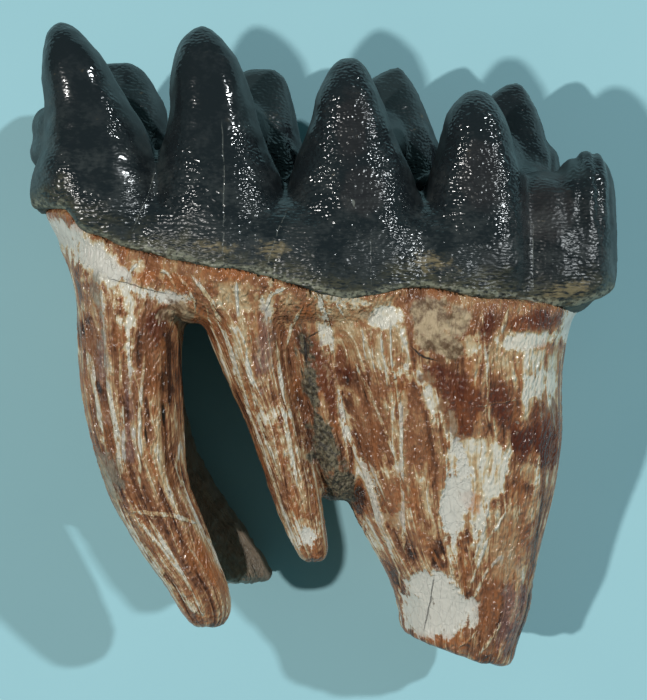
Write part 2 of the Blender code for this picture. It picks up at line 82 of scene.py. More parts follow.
# Cusps: tip X, Y, Z, then rows of depth below the tip, X of the middle, half width along X
cuspShapes = {
    "cheek": (
        ((-75.7, 95.4, 75.5), ((1.5, -75.5, 3.5), (5, -74.6, 6.1), (11, -72.5, 9), (16.5, -71.2, 10.8),
         (22, -69.4, 12.2), (28, -67.2, 14.3), (34, -66, 16), (42, -65, 18), (52, -65.5, 20.5),
         (62, -66, 20))),
        ((-35, 94.2, 75.5), ((1.6, -35, 4.1), (6.4, -34.9, 7.6), (11.6, -34, 10), (17.4, -33.2, 11.6),
         (26, -32, 12.8), (35, -31.6, 15.5), (43, -30.6, 18.5), (55, -30.5, 20.5), (68, -30.5, 20))),
        ((7.3, 85.2, 75), ((1.1, 7.2, 3.8), (5.6, 7.1, 6.7), (11, 7.1, 9.1), (17, 7.7, 11.2),
         (22.5, 7.8, 13.1), (28, 7.8, 15.2), (35, 8.3, 18), (46, 8.6, 20.5), (60, 9, 21), (68, 9, 20))),
        ((44.8, 76.2, 71.5), ((1.2, 44.4, 4.2), (4.8, 44.3, 7), (8.2, 44.2, 8.8), (14, 44.6, 10.5),
         (19, 44.8, 11.9), (25, 45.1, 14.2), (37, 45, 16.8), (50, 45, 17.5), (59, 45, 17))),
    ),
    "tongue": (
        ((-65, 91, 33), ((0.8, -65, 5.5), (4, -64.5, 9), (10, -64.5, 12.6), (15, -64.5, 15), (26, -65, 17),
         (45, -63, 21), (62, -63, 21))),
        ((-20, 89, 33), ((0.7, -20, 5.3), (2.5, -20, 7.8), (6.5, -21, 10.4), (13, -22, 13), (24, -22, 15.5),
         (40, -20, 20), (66, -18, 21.5))),
        ((23.5, 89.4, 33), ((0.9, 23, 2.3), (2.6, 21.4, 5.2), (6.4, 20.5, 8.4), (11, 20, 11), (16.5, 20, 13),
         (23, 20.5, 15.3), (40, 22, 19.5), (70, 23, 21))),
        ((60.4, 84.7, 33), ((1, 60, 3.2), (4.5, 58.8, 6.3), (10, 58.2, 9.4), (16.5, 58, 11.9), (21, 58, 14),
         (25, 58.5, 16.4), (40, 59, 17), (68, 58, 16))),
    ),
    # how far the faces stand from the tip: share of the way down to the neck, outwards, inwards
    "cheekFaces": ((0, 0, 0), (0.03, 3.6, 2.7), (0.08, 6.8, 5.5), (0.15, 9.6, 9), (0.22, 10.4, 12),
                   (0.3, 10.4, 15), (0.42, 10.3, 19), (0.55, 11.2, 23.5), (0.7, 13.0, 28), (0.85, 12.8, 30),
                   (1.0, 9.5, 28)),
    "tongueFaces": ((0, 0, 0), (0.03, 2.8, 2.5), (0.08, 5.2, 5), (0.15, 8.2, 8), (0.25, 12.5, 11.5),
                    (0.4, 19, 15.5), (0.6, 27, 19), (0.8, 34.2, 22), (0.92, 35, 24), (1.0, 31, 24)),
    "rounding": (0.25, 0.5, 0.75),  # sections that round the tip, as shares of the first row's width
    "furrow": (0.35, 0.22),  # depth of the shallow furrow down each outer face, and its share of the width
    "squareness": 0.4,  # added to the section's power at the neck
    # ridge between a cheek cusp and its tongue cusp: share of the way across, dip below the tips, size
    "ridge": ((0.2, 17, 0.55), (0.35, 17, 0.9), (0.65, 16, 1.0), (0.85, 11, 0.8)),
    "ridgeHalfX": 8.0,
    "ridgeHalfY": 12.0,
    # the heel: a low cross ridge, and the lobe between it and the last cheek cusp
    "heel": (
        ((79.2, 60, 60), ((1, 79.2, 3.4), (3, 78.6, 6), (7, 77.4, 8.6), (12, 76.6, 10.8), (18, 75, 12.8),
         (26, 74, 14.2), (38, 73, 15.3), (47, 73, 15))),
        ((64.5, 53.5, 62), ((1, 64.5, 4.5), (3, 64.8, 7.6), (7, 65, 10.5), (14, 65.5, 12.5), (24, 66, 13.5),
         (38, 66, 13.5))),
    ),
    "heelFaces": ((0, 0, 0), (0.05, 6, 9), (0.15, 10.5, 16), (0.3, 13.5, 22), (0.5, 15.5, 26),
                  (0.75, 16, 29), (0.92, 15, 29), (1.0, 12, 26)),
}

# Lumps fused to the crown, and to the neck: centre, half sizes
crownLumps = (
    ((70, 38, 27), (15, 20, 15)),  # tongue corner of the heel
    ((60.5, 43, 46), (13, 14.5, 15)),  # saddle between the last ridge and the heel
    ((-79.5, 67, 54), (8.6, 7.5, 16)),  # front shelf, in three knobs and a base
    ((-80, 59.5, 50), (9.3, 6.5, 20)),
    ((-78, 54, 40), (9.5, 11, 26)),
    ((-79, 46, 52), (9.3, 7, 20)),
    ((-47, 48, 51), (7, 11, 9)),  # small cusps in the valleys
    ((-5, 46, 52), (7, 11, 9)),
    ((34, 44, 51), (7, 10, 9)),
)
rootLumps = (
    ((35, 9.5, 78.8), (9.5, 10.5, 5)),  # crust on the neck
)

# Roots: rows of X, Y, Z, half width along X, half width along Z; then the tip's length, the section's power
rootShapes = {
    "frontCheek": (
        ((-57, 30, 57, 20.5, 24), (-57, 18, 59, 16.8, 23.8), (-57.4, 6, 59.5, 15.2, 21.4),
         (-57.5, -4, 59, 14.8, 18.4), (-57, -16, 58, 14.4, 16.5), (-55.8, -28, 56, 13.4, 15),
         (-53.5, -40, 53, 12.4, 14), (-49.2, -51, 51, 12, 13.2), (-44.2, -62, 49, 11, 12.3),
         (-38.8, -72, 47, 9.4, 11), (-36.3, -79, 45.5, 7.8, 8.8), (-35.6, -82.5, 45, 6, 6.6)),
        2.8, 2.2),
    "frontTongue": (
        ((-58, 28, 27, 18, 24), (-60, 12, 26, 15.4, 21.5), (-60.5, -5, 24, 14.2, 18.5),
         (-58.5, -20, 22, 13.6, 16.5), (-54.5, -32, 20, 13, 15.5), (-48, -45, 18, 12.8, 14.5),
         (-40.3, -56, 16.3, 12.8, 13.6), (-33, -66, 15.3, 12.4, 12.6), (-28.6, -73, 15, 11.4, 10.8)),
        2.5, 2.2),
    "middle": (
        ((-25, 26, 60, 17, 20), (-22.8, 12, 62, 14.2, 20.6), (-20.5, 0, 62, 11.8, 16.2),
         (-18, -10, 60.5, 10.2, 13.8), (-14.4, -21, 59, 8.9, 12), (-11, -33, 57.5, 7.7, 10),
         (-7.8, -45, 56, 6.8, 8.6), (-4.9, -56, 54.5, 5.4, 6.8), (-3.2, -61.5, 54, 4.2, 5)),
        2.5, 2.2),
    "backCheek": (
        ((32, 26, 48, 43, 32), (33, 12, 49.5, 43, 34.4), (34, 0, 48.5, 39, 32.6), (35, -12, 47, 37.2, 30),
         (36.6, -25, 44.5, 36, 27), (38, -38, 42, 33.4, 24.8), (39.4, -50, 39.5, 30.2, 22.8),
         (41.2, -61, 37.2, 25.8, 20.8), (42.8, -70, 35.5, 22.6, 19.4), (44, -80, 33.5, 20.4, 17.5),
         (42.8, -90, 32, 18.2, 15.8), (42.5, -99, 31, 16.5, 14)),
        3.0, 2.5),
    "backTongue": (
        ((30, 24, 26, 40, 22), (31, 8, 24, 37, 21), (32, -10, 22, 31, 19.5), (34, -28, 19.5, 27, 18),
         (36, -45, 16.4, 22.5, 16.5), (38, -60, 14.2, 19, 14.5), (40, -72, 12.8, 15, 12.5),
         (41, -79, 12.5, 11, 10)),
        5.0, 2.2),
    "web": (
        ((-4, 16, 57, 13, 22.5), (-3.4, 6, 56, 12, 20.5), (-1.4, -8, 53.5, 10.2, 17.6),
         (1.2, -24, 51, 8.6, 15), (3.8, -36, 48.5, 7.7, 13), (4.8, -43, 46.5, 6.5, 10)),
        3.5, 2.2),
}
tipRings = ((0.45, 0.9), (0.8, 0.66))  # share of the tip's length, share of the last row's width
# The big back root ends in a break, along this plane
brokenEnd = {"root": "backCheek", "point": (39.0, -93.6, 46.0), "normal": (0.32, 0.95, 0.05)}
grainBlend = {
    "falloff": 4.0,  # a root's grain counts by exp(-falloff r^2), r from its middle in half widths
    "neck": (0, 26),  # over these Y the grain turns into plain places on the neck
    "middle": 46.0,  # Z
    "halfThickness": 38.0,
}
noiseTable = {  # of the noise that shapes the meshes
    "seedStep": 7.31,
    "turns": ((127.1, 269.5, 419.2), (311.7, 183.3, 371.9), (74.7, 246.1, 168.2)),
    "hashScale": 43758.5453,
    "gain": 1.5,
}


def curveThrough(points, steps):
    # Catmull-Rom: half of (2b + (c-a)t + (2a-5b+4c-d)t^2 + (3b-a-3c+d)t^3) over each span
    rows = np.array(points, float)
    padded = np.vstack([2 * rows[0] - rows[1], rows, 2 * rows[-1] - rows[-2]])
    a, b, c, d = (padded[k:len(padded) - 3 + k, None, :] for k in range(4))
    t = (np.arange(steps) / steps)[None, :, None]
    spans = 0.5 * (2 * b + (c - a) * t + (2 * a - 5 * b + 4 * c - d) * t**2 + (3 * b - a - 3 * c + d) * t**3)
    return np.vstack([spans.reshape(-1, rows.shape[1]), rows[-1:]])


def lineHeight(line, x):
    # Y at each X of the smooth curve through a line's points
    curve = curveThrough(line, lineSteps)
    return np.interp(x, curve[:, 0], curve[:, 1])


def powerCircle(power):
    # sign(cos) |cos|^(2/power), and the same for sine: 2 is an ellipse, more is squarer
    angle = np.arange(sides) * 2 * math.pi / sides
    c, s = np.cos(angle), np.sin(angle)
    return np.sign(c) * abs(c) ** (2 / power), np.sign(s) * abs(s) ** (2 / power)


def smoothStep(value, low, high):
    # 3t^2 - 2t^3, where t runs from 0 at low to 1 at high
    t = np.clip((value - low) / (high - low), 0, 1)
    return t * t * (3 - 2 * t)


def latticeNoise(points, spacing, seed):
    # Gradient noise, about -1 to 1: each lattice corner has a hashed slope, blended by 6t^5 - 15t^4 + 10t^3
    place = points / np.array(spacing) + seed * noiseTable["seedStep"]
    cell = np.floor(place)
    part = place - cell
    fade = part**3 * (part * (part * 6 - 15) + 10)
    total = np.zeros(len(points))
    for corner in itertools.product((0, 1), repeat=3):
        turned = np.sin((cell + corner) @ np.array(noiseTable["turns"])) * noiseTable["hashScale"]
        slope = 2 * (turned - np.floor(turned)) - 1
        total += np.prod(np.where(corner, fade, 1 - fade), axis=1) * np.sum(slope * (part - corner), axis=1)
    return noiseTable["gain"] * total


def layered(points, rows):
    # The sum of noises in rows of height, spacing, seed
    return sum(height * latticeNoise(points, spacing, seed) for height, spacing, seed in rows)


def skin(rings, firstTip=None, lastTip=None):
    # A closed skin: quads between ring r and ring r + 1, and fans from two tips to the end rings.
    # A tip that isn't given is the middle of its ring.
    firstTip = rings[0].mean(0) if firstTip is None else np.array(firstTip)
    lastTip = rings[-1].mean(0) if lastTip is None else np.array(lastTip)
    verts = np.vstack([firstTip[None], np.concatenate(rings), lastTip[None]])
    i = np.arange(sides)
    j = (i + 1) % sides
    a = 1 + np.arange(len(rings) - 1)[:, None] * sides
    quads = np.stack([a + i, a + sides + i, a + sides + j, a + j], axis=-1).reshape(-1, 4)
    last = len(verts) - 1
    fans = np.vstack([np.stack([np.zeros(sides, int), i + 1, j + 1], axis=1),
                      np.stack([np.full(sides, last), last - sides + j, last - sides + i], axis=1)])
    return verts, fans.tolist() + quads.tolist()


def crownOutline(insetX, insetZ, shiftX):
    # A squared ellipse that tapers to the heel, dented by exp(-(dx/width)^2) at each groove between ridges
    shape = crownShape
    c, s = powerCircle(shape["cornerPower"])
    x = shape["middle"][0] + shiftX + (shape["length"] / 2 - insetX) * c
    heel = np.clip((x - shape["heelFrom"]) / shape["heelReach"], 0, 1) ** shape["heelPower"]
    half = shape["width"] / 2 * (1 - shape["heelTaper"] * heel) - insetZ
    for grooves, side in ((shape["cheekGrooves"], s > 0), (shape["tongueGrooves"], s < 0)):
        for groove in grooves:
            half = half - side * shape["grooveDepth"] * np.exp(-(((x - groove) / shape["grooveWidth"]) ** 2))
    return x, shape["middle"][1] + half * s


def ringsFromNeck(table, goal, shiftX=0.0):
    # The crown's outline, ring by ring at a share of the way from the neck's line to the goal's height
    rings = []
    for share, insetX, insetZ in table:
        x, z = crownOutline(insetX, insetZ, shiftX)
        neck = lineHeight(neckLine, x)
        rings.append(np.stack([x, neck + (goal(x) - neck) * share, z], axis=1))
    return skin(rings)


def crownBody():
    shape = crownShape
    return ringsFromNeck(shape["rings"], lambda x: shape["valleyFloor"] + shape["valleySlope"] * x)


def rootStock():
    shape = crownShape
    return ringsFromNeck(shape["stockRings"], lambda x: lineHeight(stockLine, x), shape["stockShift"])


def cusp(tip, levels, faces, outward):
    # Sections from the tip down to the neck: half widths from two tables, squarer with depth and furrowed
    # outside. At the tip they go as the root of the depth, which rounds it.
    faces = np.array(faces, float)
    first, top = levels[0], faces[1, 0]
    furrowDepth, furrowWidth = cuspShapes["furrow"]
    nearTip = [(first[0] * k * k, tip[0] + (first[1] - tip[0]) * k, first[2] * k)
               for k in cuspShapes["rounding"]]
    rings = []
    for depth, x, halfX in nearTip + curveThrough(levels, pathSteps).tolist():
        neck = lineHeight(neckLine, x)
        share = depth / (tip[1] - neck)
        low = min(share, 1.0)
        row = math.sqrt(share / top) * top if share < top else share
        out, back = np.interp(row, faces[:, 0], faces[:, 1]), np.interp(row, faces[:, 0], faces[:, 2])
        c, s = powerCircle(2.0 + cuspShapes["squareness"] * low)
        z = tip[2] + outward * ((out - back) / 2 + (out + back) / 2 * s)
        furrow = furrowDepth * np.exp(-((c / furrowWidth) ** 2)) * (s > 0) * math.sin(math.pi * low)
        across = x + halfX * c
        tilt = (lineHeight(neckLine, across) - neck) * low**2
        rings.append(np.stack([across, tip[1] - depth + tilt, z - outward * furrow], axis=1))
    return skin(rings, tip)


def lophRidge(cheekTip, tongueTip):
    # An ellipse carried from one cusp to the other, below the line between their tips by a dip
    c, s = powerCircle(2.0)
    start, end = np.array(cheekTip, float), np.array(tongueTip, float)
    rows = [(*(start + (end - start) * share), dip, size) for share, dip, size in cuspShapes["ridge"]]
    rings = []
    for x, y, z, dip, size in curveThrough(rows, pathSteps):
        halfX, halfY = cuspShapes["ridgeHalfX"] * size, cuspShapes["ridgeHalfY"] * size
        rings.append(np.stack([x + halfX * c, y - dip - halfY + halfY * s, np.full(sides, z)], axis=1))
    return skin(rings)


def pastBreak(points):
    # Distance from the plane of the break, positive on the root's side, and the plane's unit normal
    normal = np.array(brokenEnd["normal"]) / np.linalg.norm(brokenEnd["normal"])
    return (points - np.array(brokenEnd["point"])) @ normal, normal


def rootBranch(levels, tipLength, power, broken):
    # Oval sections carried down a path, narrowing to a rounded tip; the broken root is cut off along a plane
    c, s = powerCircle(power)
    path = curveThrough(levels, pathSteps)
    heading = path[-1, :3] - path[-2, :3]
    heading /= np.linalg.norm(heading)
    rings = [np.stack([x + hx * c, np.full(sides, y), z + hz * s], axis=1) for x, y, z, hx, hz in path]
    end = path[-1]
    for share, narrow in tipRings:
        x, y, z = end[:3] + heading * tipLength * share
        rings.append(np.stack([x + end[3] * narrow * c, np.full(sides, y), z + end[4] * narrow * s], axis=1))
    verts, faces = skin(rings, lastTip=end[:3] + heading * tipLength)
    if broken:
        away, normal = pastBreak(verts)
        verts = verts - np.outer(np.minimum(away, 0) / normal[1], (0, 1, 0))  # lifted straight up onto it
    return verts, faces


def ball(centre, halfSizes):
    # A sphere in rings of latitude, stretched to its half sizes
    c, s = powerCircle(2.0)
    latitudes = np.linspace(-math.pi / 2, math.pi / 2, ballRings + 2)[1:-1]
    rings = [np.stack([np.cos(a) * c, np.full(sides, np.sin(a)), np.cos(a) * s], axis=1) * halfSizes + centre
             for a in latitudes]
    return skin(rings, np.array(centre) - (0, halfSizes[1], 0), np.array(centre) + (0, halfSizes[1], 0))


def fuse(name, shapes, voxel, passes):
    # One even skin over all the overlapping shapes, softened where they meet
    verts, faces, start = [], [], 0
    for points, corners in shapes:
        verts.append(points)
        faces += [[k + start for k in face] for face in corners]
        start += len(points)
    mesh = bpy.data.meshes.new(name)
    mesh.from_pydata((np.vstack(verts) * mm).tolist(), [], faces)
    piece = bpy.data.objects.new(name, mesh)
    bpy.context.scene.collection.objects.link(piece)
    remesh = piece.modifiers.new("oneSkin", "REMESH")
    remesh.mode = "VOXEL"
    remesh.voxel_size = voxel * mm
    soften = piece.modifiers.new("soften", "SMOOTH")
    soften.factor = softenFactor
    soften.iterations = passes
    graph = bpy.context.evaluated_depsgraph_get()
    solid = bpy.data.meshes.new_from_object(piece.evaluated_get(graph))
    piece.modifiers.clear()
    piece.data = solid
    solid.name = name
    bpy.data.meshes.remove(mesh)
    print(name, "fused, faces:", len(solid.polygons))
    return piece


def readPoints(piece):
    mesh = piece.data
    points, normals = np.empty(len(mesh.vertices) * 3), np.empty(len(mesh.vertices) * 3)
    mesh.vertices.foreach_get("co", points)
    mesh.vertex_normals.foreach_get("vector", normals)
    return points.reshape(-1, 3) / mm, normals.reshape(-1, 3)


def writeField(piece, name, values):
    kind, key = ("FLOAT", "value") if values.ndim == 1 else ("FLOAT_VECTOR", "vector")
    layer = piece.data.attributes.new(name, kind, "POINT")
    layer.data.foreach_set(key, values.astype(np.float32).ravel())


def layDown(piece, points):
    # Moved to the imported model's place, flat where it meets the floor
    moved = points + tableShift
    moved[:, 2] = np.maximum(moved[:, 2], 0)
    piece.data.vertices.foreach_set("co", (moved * mm).ravel())
    piece.data.update()
    piece.data.shade_smooth()
    print(piece.name, "sculpted")


# The marks on the side that faces up are placed in pixels of a picture taken from straight above:
# X to the right and Y down. The same values place the camera.
pictureView = {
    "size": (647, 700),
    "height": 565.0,  # of the camera above the floor, in millimetres
    "focal": 1690.0,  # in pixels
    "edgeBand": 7.0,  # half the width of a patch's soft edge
    "strokeReach": 6.0,  # a stroke's fields reach this far to each side
    "strokeTaper": 14.0,  # a stroke narrows over this length at each end
    "strokeEnd": 0.35,  # to this share of its width
    "strokeGroups": 3,
    "strokeEdge": 1.6,  # width of a stroke's soft edge
}


def picturePlace(points):
    # X = middle + focal x / (height - z), and Y the same way, but downwards
    scale = pictureView["focal"] / (pictureView["height"] - tableShift[2] - points[:, 2])
    width, height = pictureView["size"]
    return np.stack([width / 2 + points[:, 0] * scale, height / 2 - points[:, 1] * scale])


def patchField(seen, patches, ragged):
    # Turned ellipses, in rows of X, Y, half width, half height, degrees clockwise: 1 inside and 0 outside,
    # and over the soft edge a straight slope, which the ragged noise moves in and out
    total = np.zeros(len(ragged))
    for x, y, halfX, halfY, turn in patches:
        c, s = math.cos(math.radians(turn)), math.sin(math.radians(turn))
        across, down = seen[0] - x, seen[1] - y
        reach = np.hypot((across * c + down * s) / halfX, (down * c - across * s) / halfY)
        away = (reach - 1) * min(halfX, halfY) / pictureView["edgeBand"] + ragged
        total = np.maximum(total, np.clip(0.5 - 0.5 * away, 0, 1))
    return total


def patchFields(look, seen, ragged, upper, place):
    # Each kind of patch as drawn on the side that faces up, and on the hidden side where its noise is above
    # its level
    fields, soft = {}, look["hiddenSoftness"]
    for number, (name, patches) in enumerate(look["patches"].items()):
        level = look["hiddenFrom"][name]
        noise = latticeNoise(place, look["hiddenSpacing"], look["hiddenSeed"] + number)
        hidden = smoothStep(noise, level - soft, level + soft)
        fields[name] = patchField(seen, patches, ragged) * upper + hidden * (1 - upper)
    return fields


def strokeFields(piece, name, seen, strokes, shown):
    # Strokes are rows of half width, then corners. Each vertex gets its signed distance from the nearest run,
    # from a to b, at the share t = (p - a).(b - a) / |b - a|^2 held between 0 and 1, and the stroke's half
    # width, which falls to nothing past its ends and far from it. The sign keeps thin lines sharp between
    # vertices. Near neighbours would disturb each other, so every third stroke shares one pair of fields.
    view, count = pictureView, pictureView["strokeGroups"]
    reach = view["strokeReach"]
    for group in range(count):
        nearest = np.full(len(shown), np.inf)
        across, width = np.zeros(len(shown)), np.zeros(len(shown))
        for halfWidth, *corners in strokes[group::count]:
            corners = np.array(corners, float)
            runs = np.diff(corners, axis=0)
            walked = np.concatenate([[0], np.cumsum(np.hypot(*runs.T))])
            for start, run, before in zip(corners, runs, walked):
                dx, dy = seen[0] - start[0], seen[1] - start[1]
                length = math.hypot(*run)
                share = (dx * run[0] + dy * run[1]) / length**2
                held = np.clip(share, 0, 1)
                away = np.hypot(dx - held * run[0], dy - held * run[1])
                along = before + share * length
                toEnd = np.minimum(along, walked[-1] - along) / view["strokeTaper"]
                closer = away < nearest
                across = np.where(closer, np.sign(run[0] * dy - run[1] * dx) * away, across)
                width = np.where(closer, halfWidth * np.clip(view["strokeEnd"] + toEnd, 0, 1), width)
                nearest = np.minimum(nearest, away)
        near = np.clip((reach - nearest) / (reach / 2), 0, 1)
        writeField(piece, f"{name}Across{group}", across)
        writeField(piece, f"{name}Width{group}", width * shown * near)


def flatness(normals, least, low, high):
    # 1 where the skin lies flat, falling to the least value where it is steep
    return least + (1 - least) * smoothStep(abs(normals[:, 2]), low, high)


crownLook = {
    "voxel": 0.94,
    "softening": 22,
    # noises, in rows of height, spacing, seed
    "hammered": ((0.30, (9, 7, 9), 20), (0.17, (4, 3, 4), 21), (0.06, (2.2, 1.6, 2.2), 22)),
    "wrinkles": ((0.14, (7, 1.8, 7), 3),),
    "edgeWander": ((0.7, (6, 30, 6), 9),),
    "grooveWander": ((0.9, 6, 12),),
    "raggedness": ((0.6, 6, 31), (0.3, 2.5, 32)),
    "wrinkleSpan": (45, 8),  # heights above the neck between which the wrinkles grow
    "edgeDrop": 2.4,  # how far the enamel's lower edge tucks in
    "edgeBand": 1.3,  # over this height
    # upright grooves in the heel, in rows of X, depth, half width; they deepen upwards over these Y and Z
    "heelGrooves": ((70.5, 0.5, 1.0), (75.2, 1.1, 1.3), (80.4, 0.9, 1.2), (84.2, 0.5, 0.9)),
    "heelGrooveY": (30, 45),
    "heelGrooveZ": (25, 45),
    "upper": (-0.3, 0.0),  # the side that faces up, by the normal's Z
    "broadside": (0.0, 0.2, 0.75),  # least value, then the normal's Z where the skin counts as steep and flat
    "pitting": (0.03, 0.42, 0.82),
    "lowCusps": (58, 42),  # Z of the cusps on the tongue side, which have fewer pits
    "calming": {"lowCusps": 0.5, "polished": 0.8, "matt": 0.25},  # share of the pits' height that is gone
    # screen colours: of steep skin, darkened as painted shade, and of flat skin
    "shadedFlank": (14, 17, 19),
    "black": (28, 33, 36),
    # then the coats over them, in the order in which they are laid on: share, colour
    "coats": {
        "dust": (0.45, (46, 50, 52)),
        # matt: the heel's coat, darker than the black, is painted shade
        "matt": (0.6, (14, 17, 19)),
        # dusk: a painted teal sheen on matt slopes
        "dusk": (0.8, (42, 52, 54)),
        "brown": (0.35, (50, 42, 42)),
        # greyed: greyer low walls, with the painted grey sheen where they shine
        "greyed": (0.24, (82, 85, 83)),
        "olive": (1.0, (74, 71, 55)),
        "tan": (0.7, (134, 118, 86)),
        "rim": (0.72, (136, 135, 116)),
        "crack": (0.8, (118, 120, 114)),
    },
    "speckles": {  # spacing along each axis, detail, roughness
        "grime": ((9, 7, 9), 4, 0.6),
        "grit": ((1.7, 1.3, 1.7), 2, 0.6),
        "rows": ((2.6, 0.7, 2.6), 2, 0.6),
        "pits": ((1.1, 0.8, 1.1), 0),
        "folds": ((1.8, 0.7, 1.8), 0),
        "crackWobble": ((3, 3, 3),),
    },
    "masks": {  # what moves each mask's edge to and fro, then the values where it starts and where it is full
        "dusk": ({"grime": 0.9}, 0.2, 0.8),
        "brown": ({"grime": 1.6}, 0.2, 0.95),
        "tan": ({"grime": 1.4, "grit": 1.2}, 0.3, 0.85),
        "sheen": ({"grime": 1.2, "rows": 0.8}, 0.2, 0.8),
        "dust": ({"grime": 1.0, "grit": 0.7}, -0.05, 0.22),
        "greyed": ({"rows": 0.6, "grime": 1.2, "grit": 0.6}, -0.16, 0.22),
        "olive": ({"grime": 24, "rows": 12}, 9.5, 1.5),  # from here on in millimetres above the neck
        "rim": ({"grime": 6, "grit": 3}, 2.6, 1.6),
        "rimFoot": ({"grime": 6, "grit": 3}, -0.4, 0.6),
    },
    "low": (44, 14),  # the low walls, in millimetres above the neck
    "wear": {  # a noise wears these away in places, from gone at the first value to whole at the second
        "olive": ("rows", 0.36, 0.6),
        "tan": ("rows", 0.34, 0.6),
        "rim": ("grit", 0.4, 0.58),
        "crack": ("grit", 0.34, 0.52),
    },
    "sheenGrey": 1.25,  # strength of the painted sheen's grey streaks within the grey coat
    "roughness": 0.125,
    "roughening": {"low": 0.07, "dusk": 0.14, "brown": 0.1, "olive": 0.12, "edge": 0.12, "matt": 0.15,
                   "sheen": 0.13, "steep": 0.3},
    # heights of the bump: pits, what the low walls take from them, folds low down and in the sheen, cracks
    "bump": {"pits": 0.8, "lowPits": -0.3, "lowFolds": 0.55, "sheenFolds": 0.35, "crack": -0.1},
    "bumpDistance": 0.55,
    "gloss": 1.47,  # index of refraction
    "crackWobble": 3.0,
    "patches": {
        "brown": (
            (352, 130, 18, 38, 0), (482, 178, 22, 36, 0), (545, 205, 28, 40, 0), (362, 190, 24, 26, 0),
        ),
        # dusk: matt slopes and tongue cusps, rougher, with a painted teal sheen
        "dusk": (
            (132, 112, 13, 62, -28), (150, 95, 26, 40, 0), (262, 100, 26, 40, 0), (400, 95, 24, 45, 0),
            (555, 168, 36, 10, 10), (42, 130, 8, 60, 0),
        ),
        "polished": ((72, 98, 30, 70, -8), (212, 92, 38, 58, 0), (105, 165, 30, 30, 0)),
        # sheen: rougher, folded patches on the low walls, where a painted grey sheen lies
        "sheen": (
            (195, 236, 40, 24, 6), (298, 246, 20, 34, 0), (372, 252, 30, 20, 0), (470, 264, 32, 20, 0),
            (115, 203, 22, 11, 10), (250, 255, 24, 14, 8),
        ),
        # matt: the rough heel, also darkened there as painted shade
        "matt": ((560, 245, 52, 62, 0), (505, 268, 26, 26, 0)),
        "tan": (
            (275, 250, 11, 8, 0), (430, 264, 22, 8, 4), (570, 290, 24, 8, -12), (210, 246, 16, 6, 8),
            (95, 236, 10, 4, 25),
        ),
    },
    # on the hidden side a patch shows where its noise is above its level
    "hiddenSpacing": 20,
    "hiddenSeed": 40,
    "hiddenSoftness": 0.225,
    "hiddenFrom": {"brown": 0.375, "dusk": 0.375, "polished": 0.375, "sheen": 0.375, "matt": 0.375,
                   "tan": 0.375},
    "cracks": (
        (0.5, (222, 120), (224, 170), (223, 262)),
        (0.5, (155, 168), (150, 190), (130, 236)),
        (0.5, (288, 208), (276, 235), (266, 268)),
        (0.45, (371, 235), (371, 288)),
        (0.5, (533, 225), (533, 292)),
        (2.4, (352, 200), (354, 205)),  # a chip
    ),
}


def sculptCrown(piece):
    # Beaten surface of three noises, crosswise wrinkles low on the walls, grooves in the heel, and a crisp
    # edge at the neck: below the neck's line the skin drops inwards, from 0 to edgeDrop across edgeBand
    points, normals = readPoints(piece)
    look = crownLook
    above = points[:, 1] - lineHeight(neckLine, points[:, 0])
    edge = above + layered(points, look["edgeWander"])
    rise = smoothStep(above, *look["wrinkleSpan"]) * layered(points, look["wrinkles"])
    rise += layered(points, look["hammered"])
    rise -= look["edgeDrop"] * smoothStep(-edge, 0, look["edgeBand"])
    grooved = smoothStep(points[:, 1], *look["heelGrooveY"]) * smoothStep(points[:, 2], *look["heelGrooveZ"])
    wavering = points[:, 0] + layered(points, look["grooveWander"])
    for x, depth, halfWidth in look["heelGrooves"]:
        rise -= depth * grooved * np.exp(-(((wavering - x) / halfWidth) ** 2))
    points = points + normals * rise[:, None]
    seen = picturePlace(points)
    upper = smoothStep(normals[:, 2], *look["upper"])
    fields = patchFields(look, seen, layered(points, look["raggedness"]), upper, points)
    for name, values in fields.items():
        writeField(piece, name, values)
    strokeFields(piece, "crack", seen, look["cracks"], upper)
    fields["lowCusps"] = smoothStep(points[:, 2], *look["lowCusps"])
    pitted = flatness(normals, *look["pitting"])
    for name, share in look["calming"].items():
        pitted = pitted * (1 - share * fields[name])
    writeField(piece, "pitted", pitted)
    writeField(piece, "broadside", flatness(normals, *look["broadside"]))
    writeField(piece, "aboveNeck", edge)
    return points


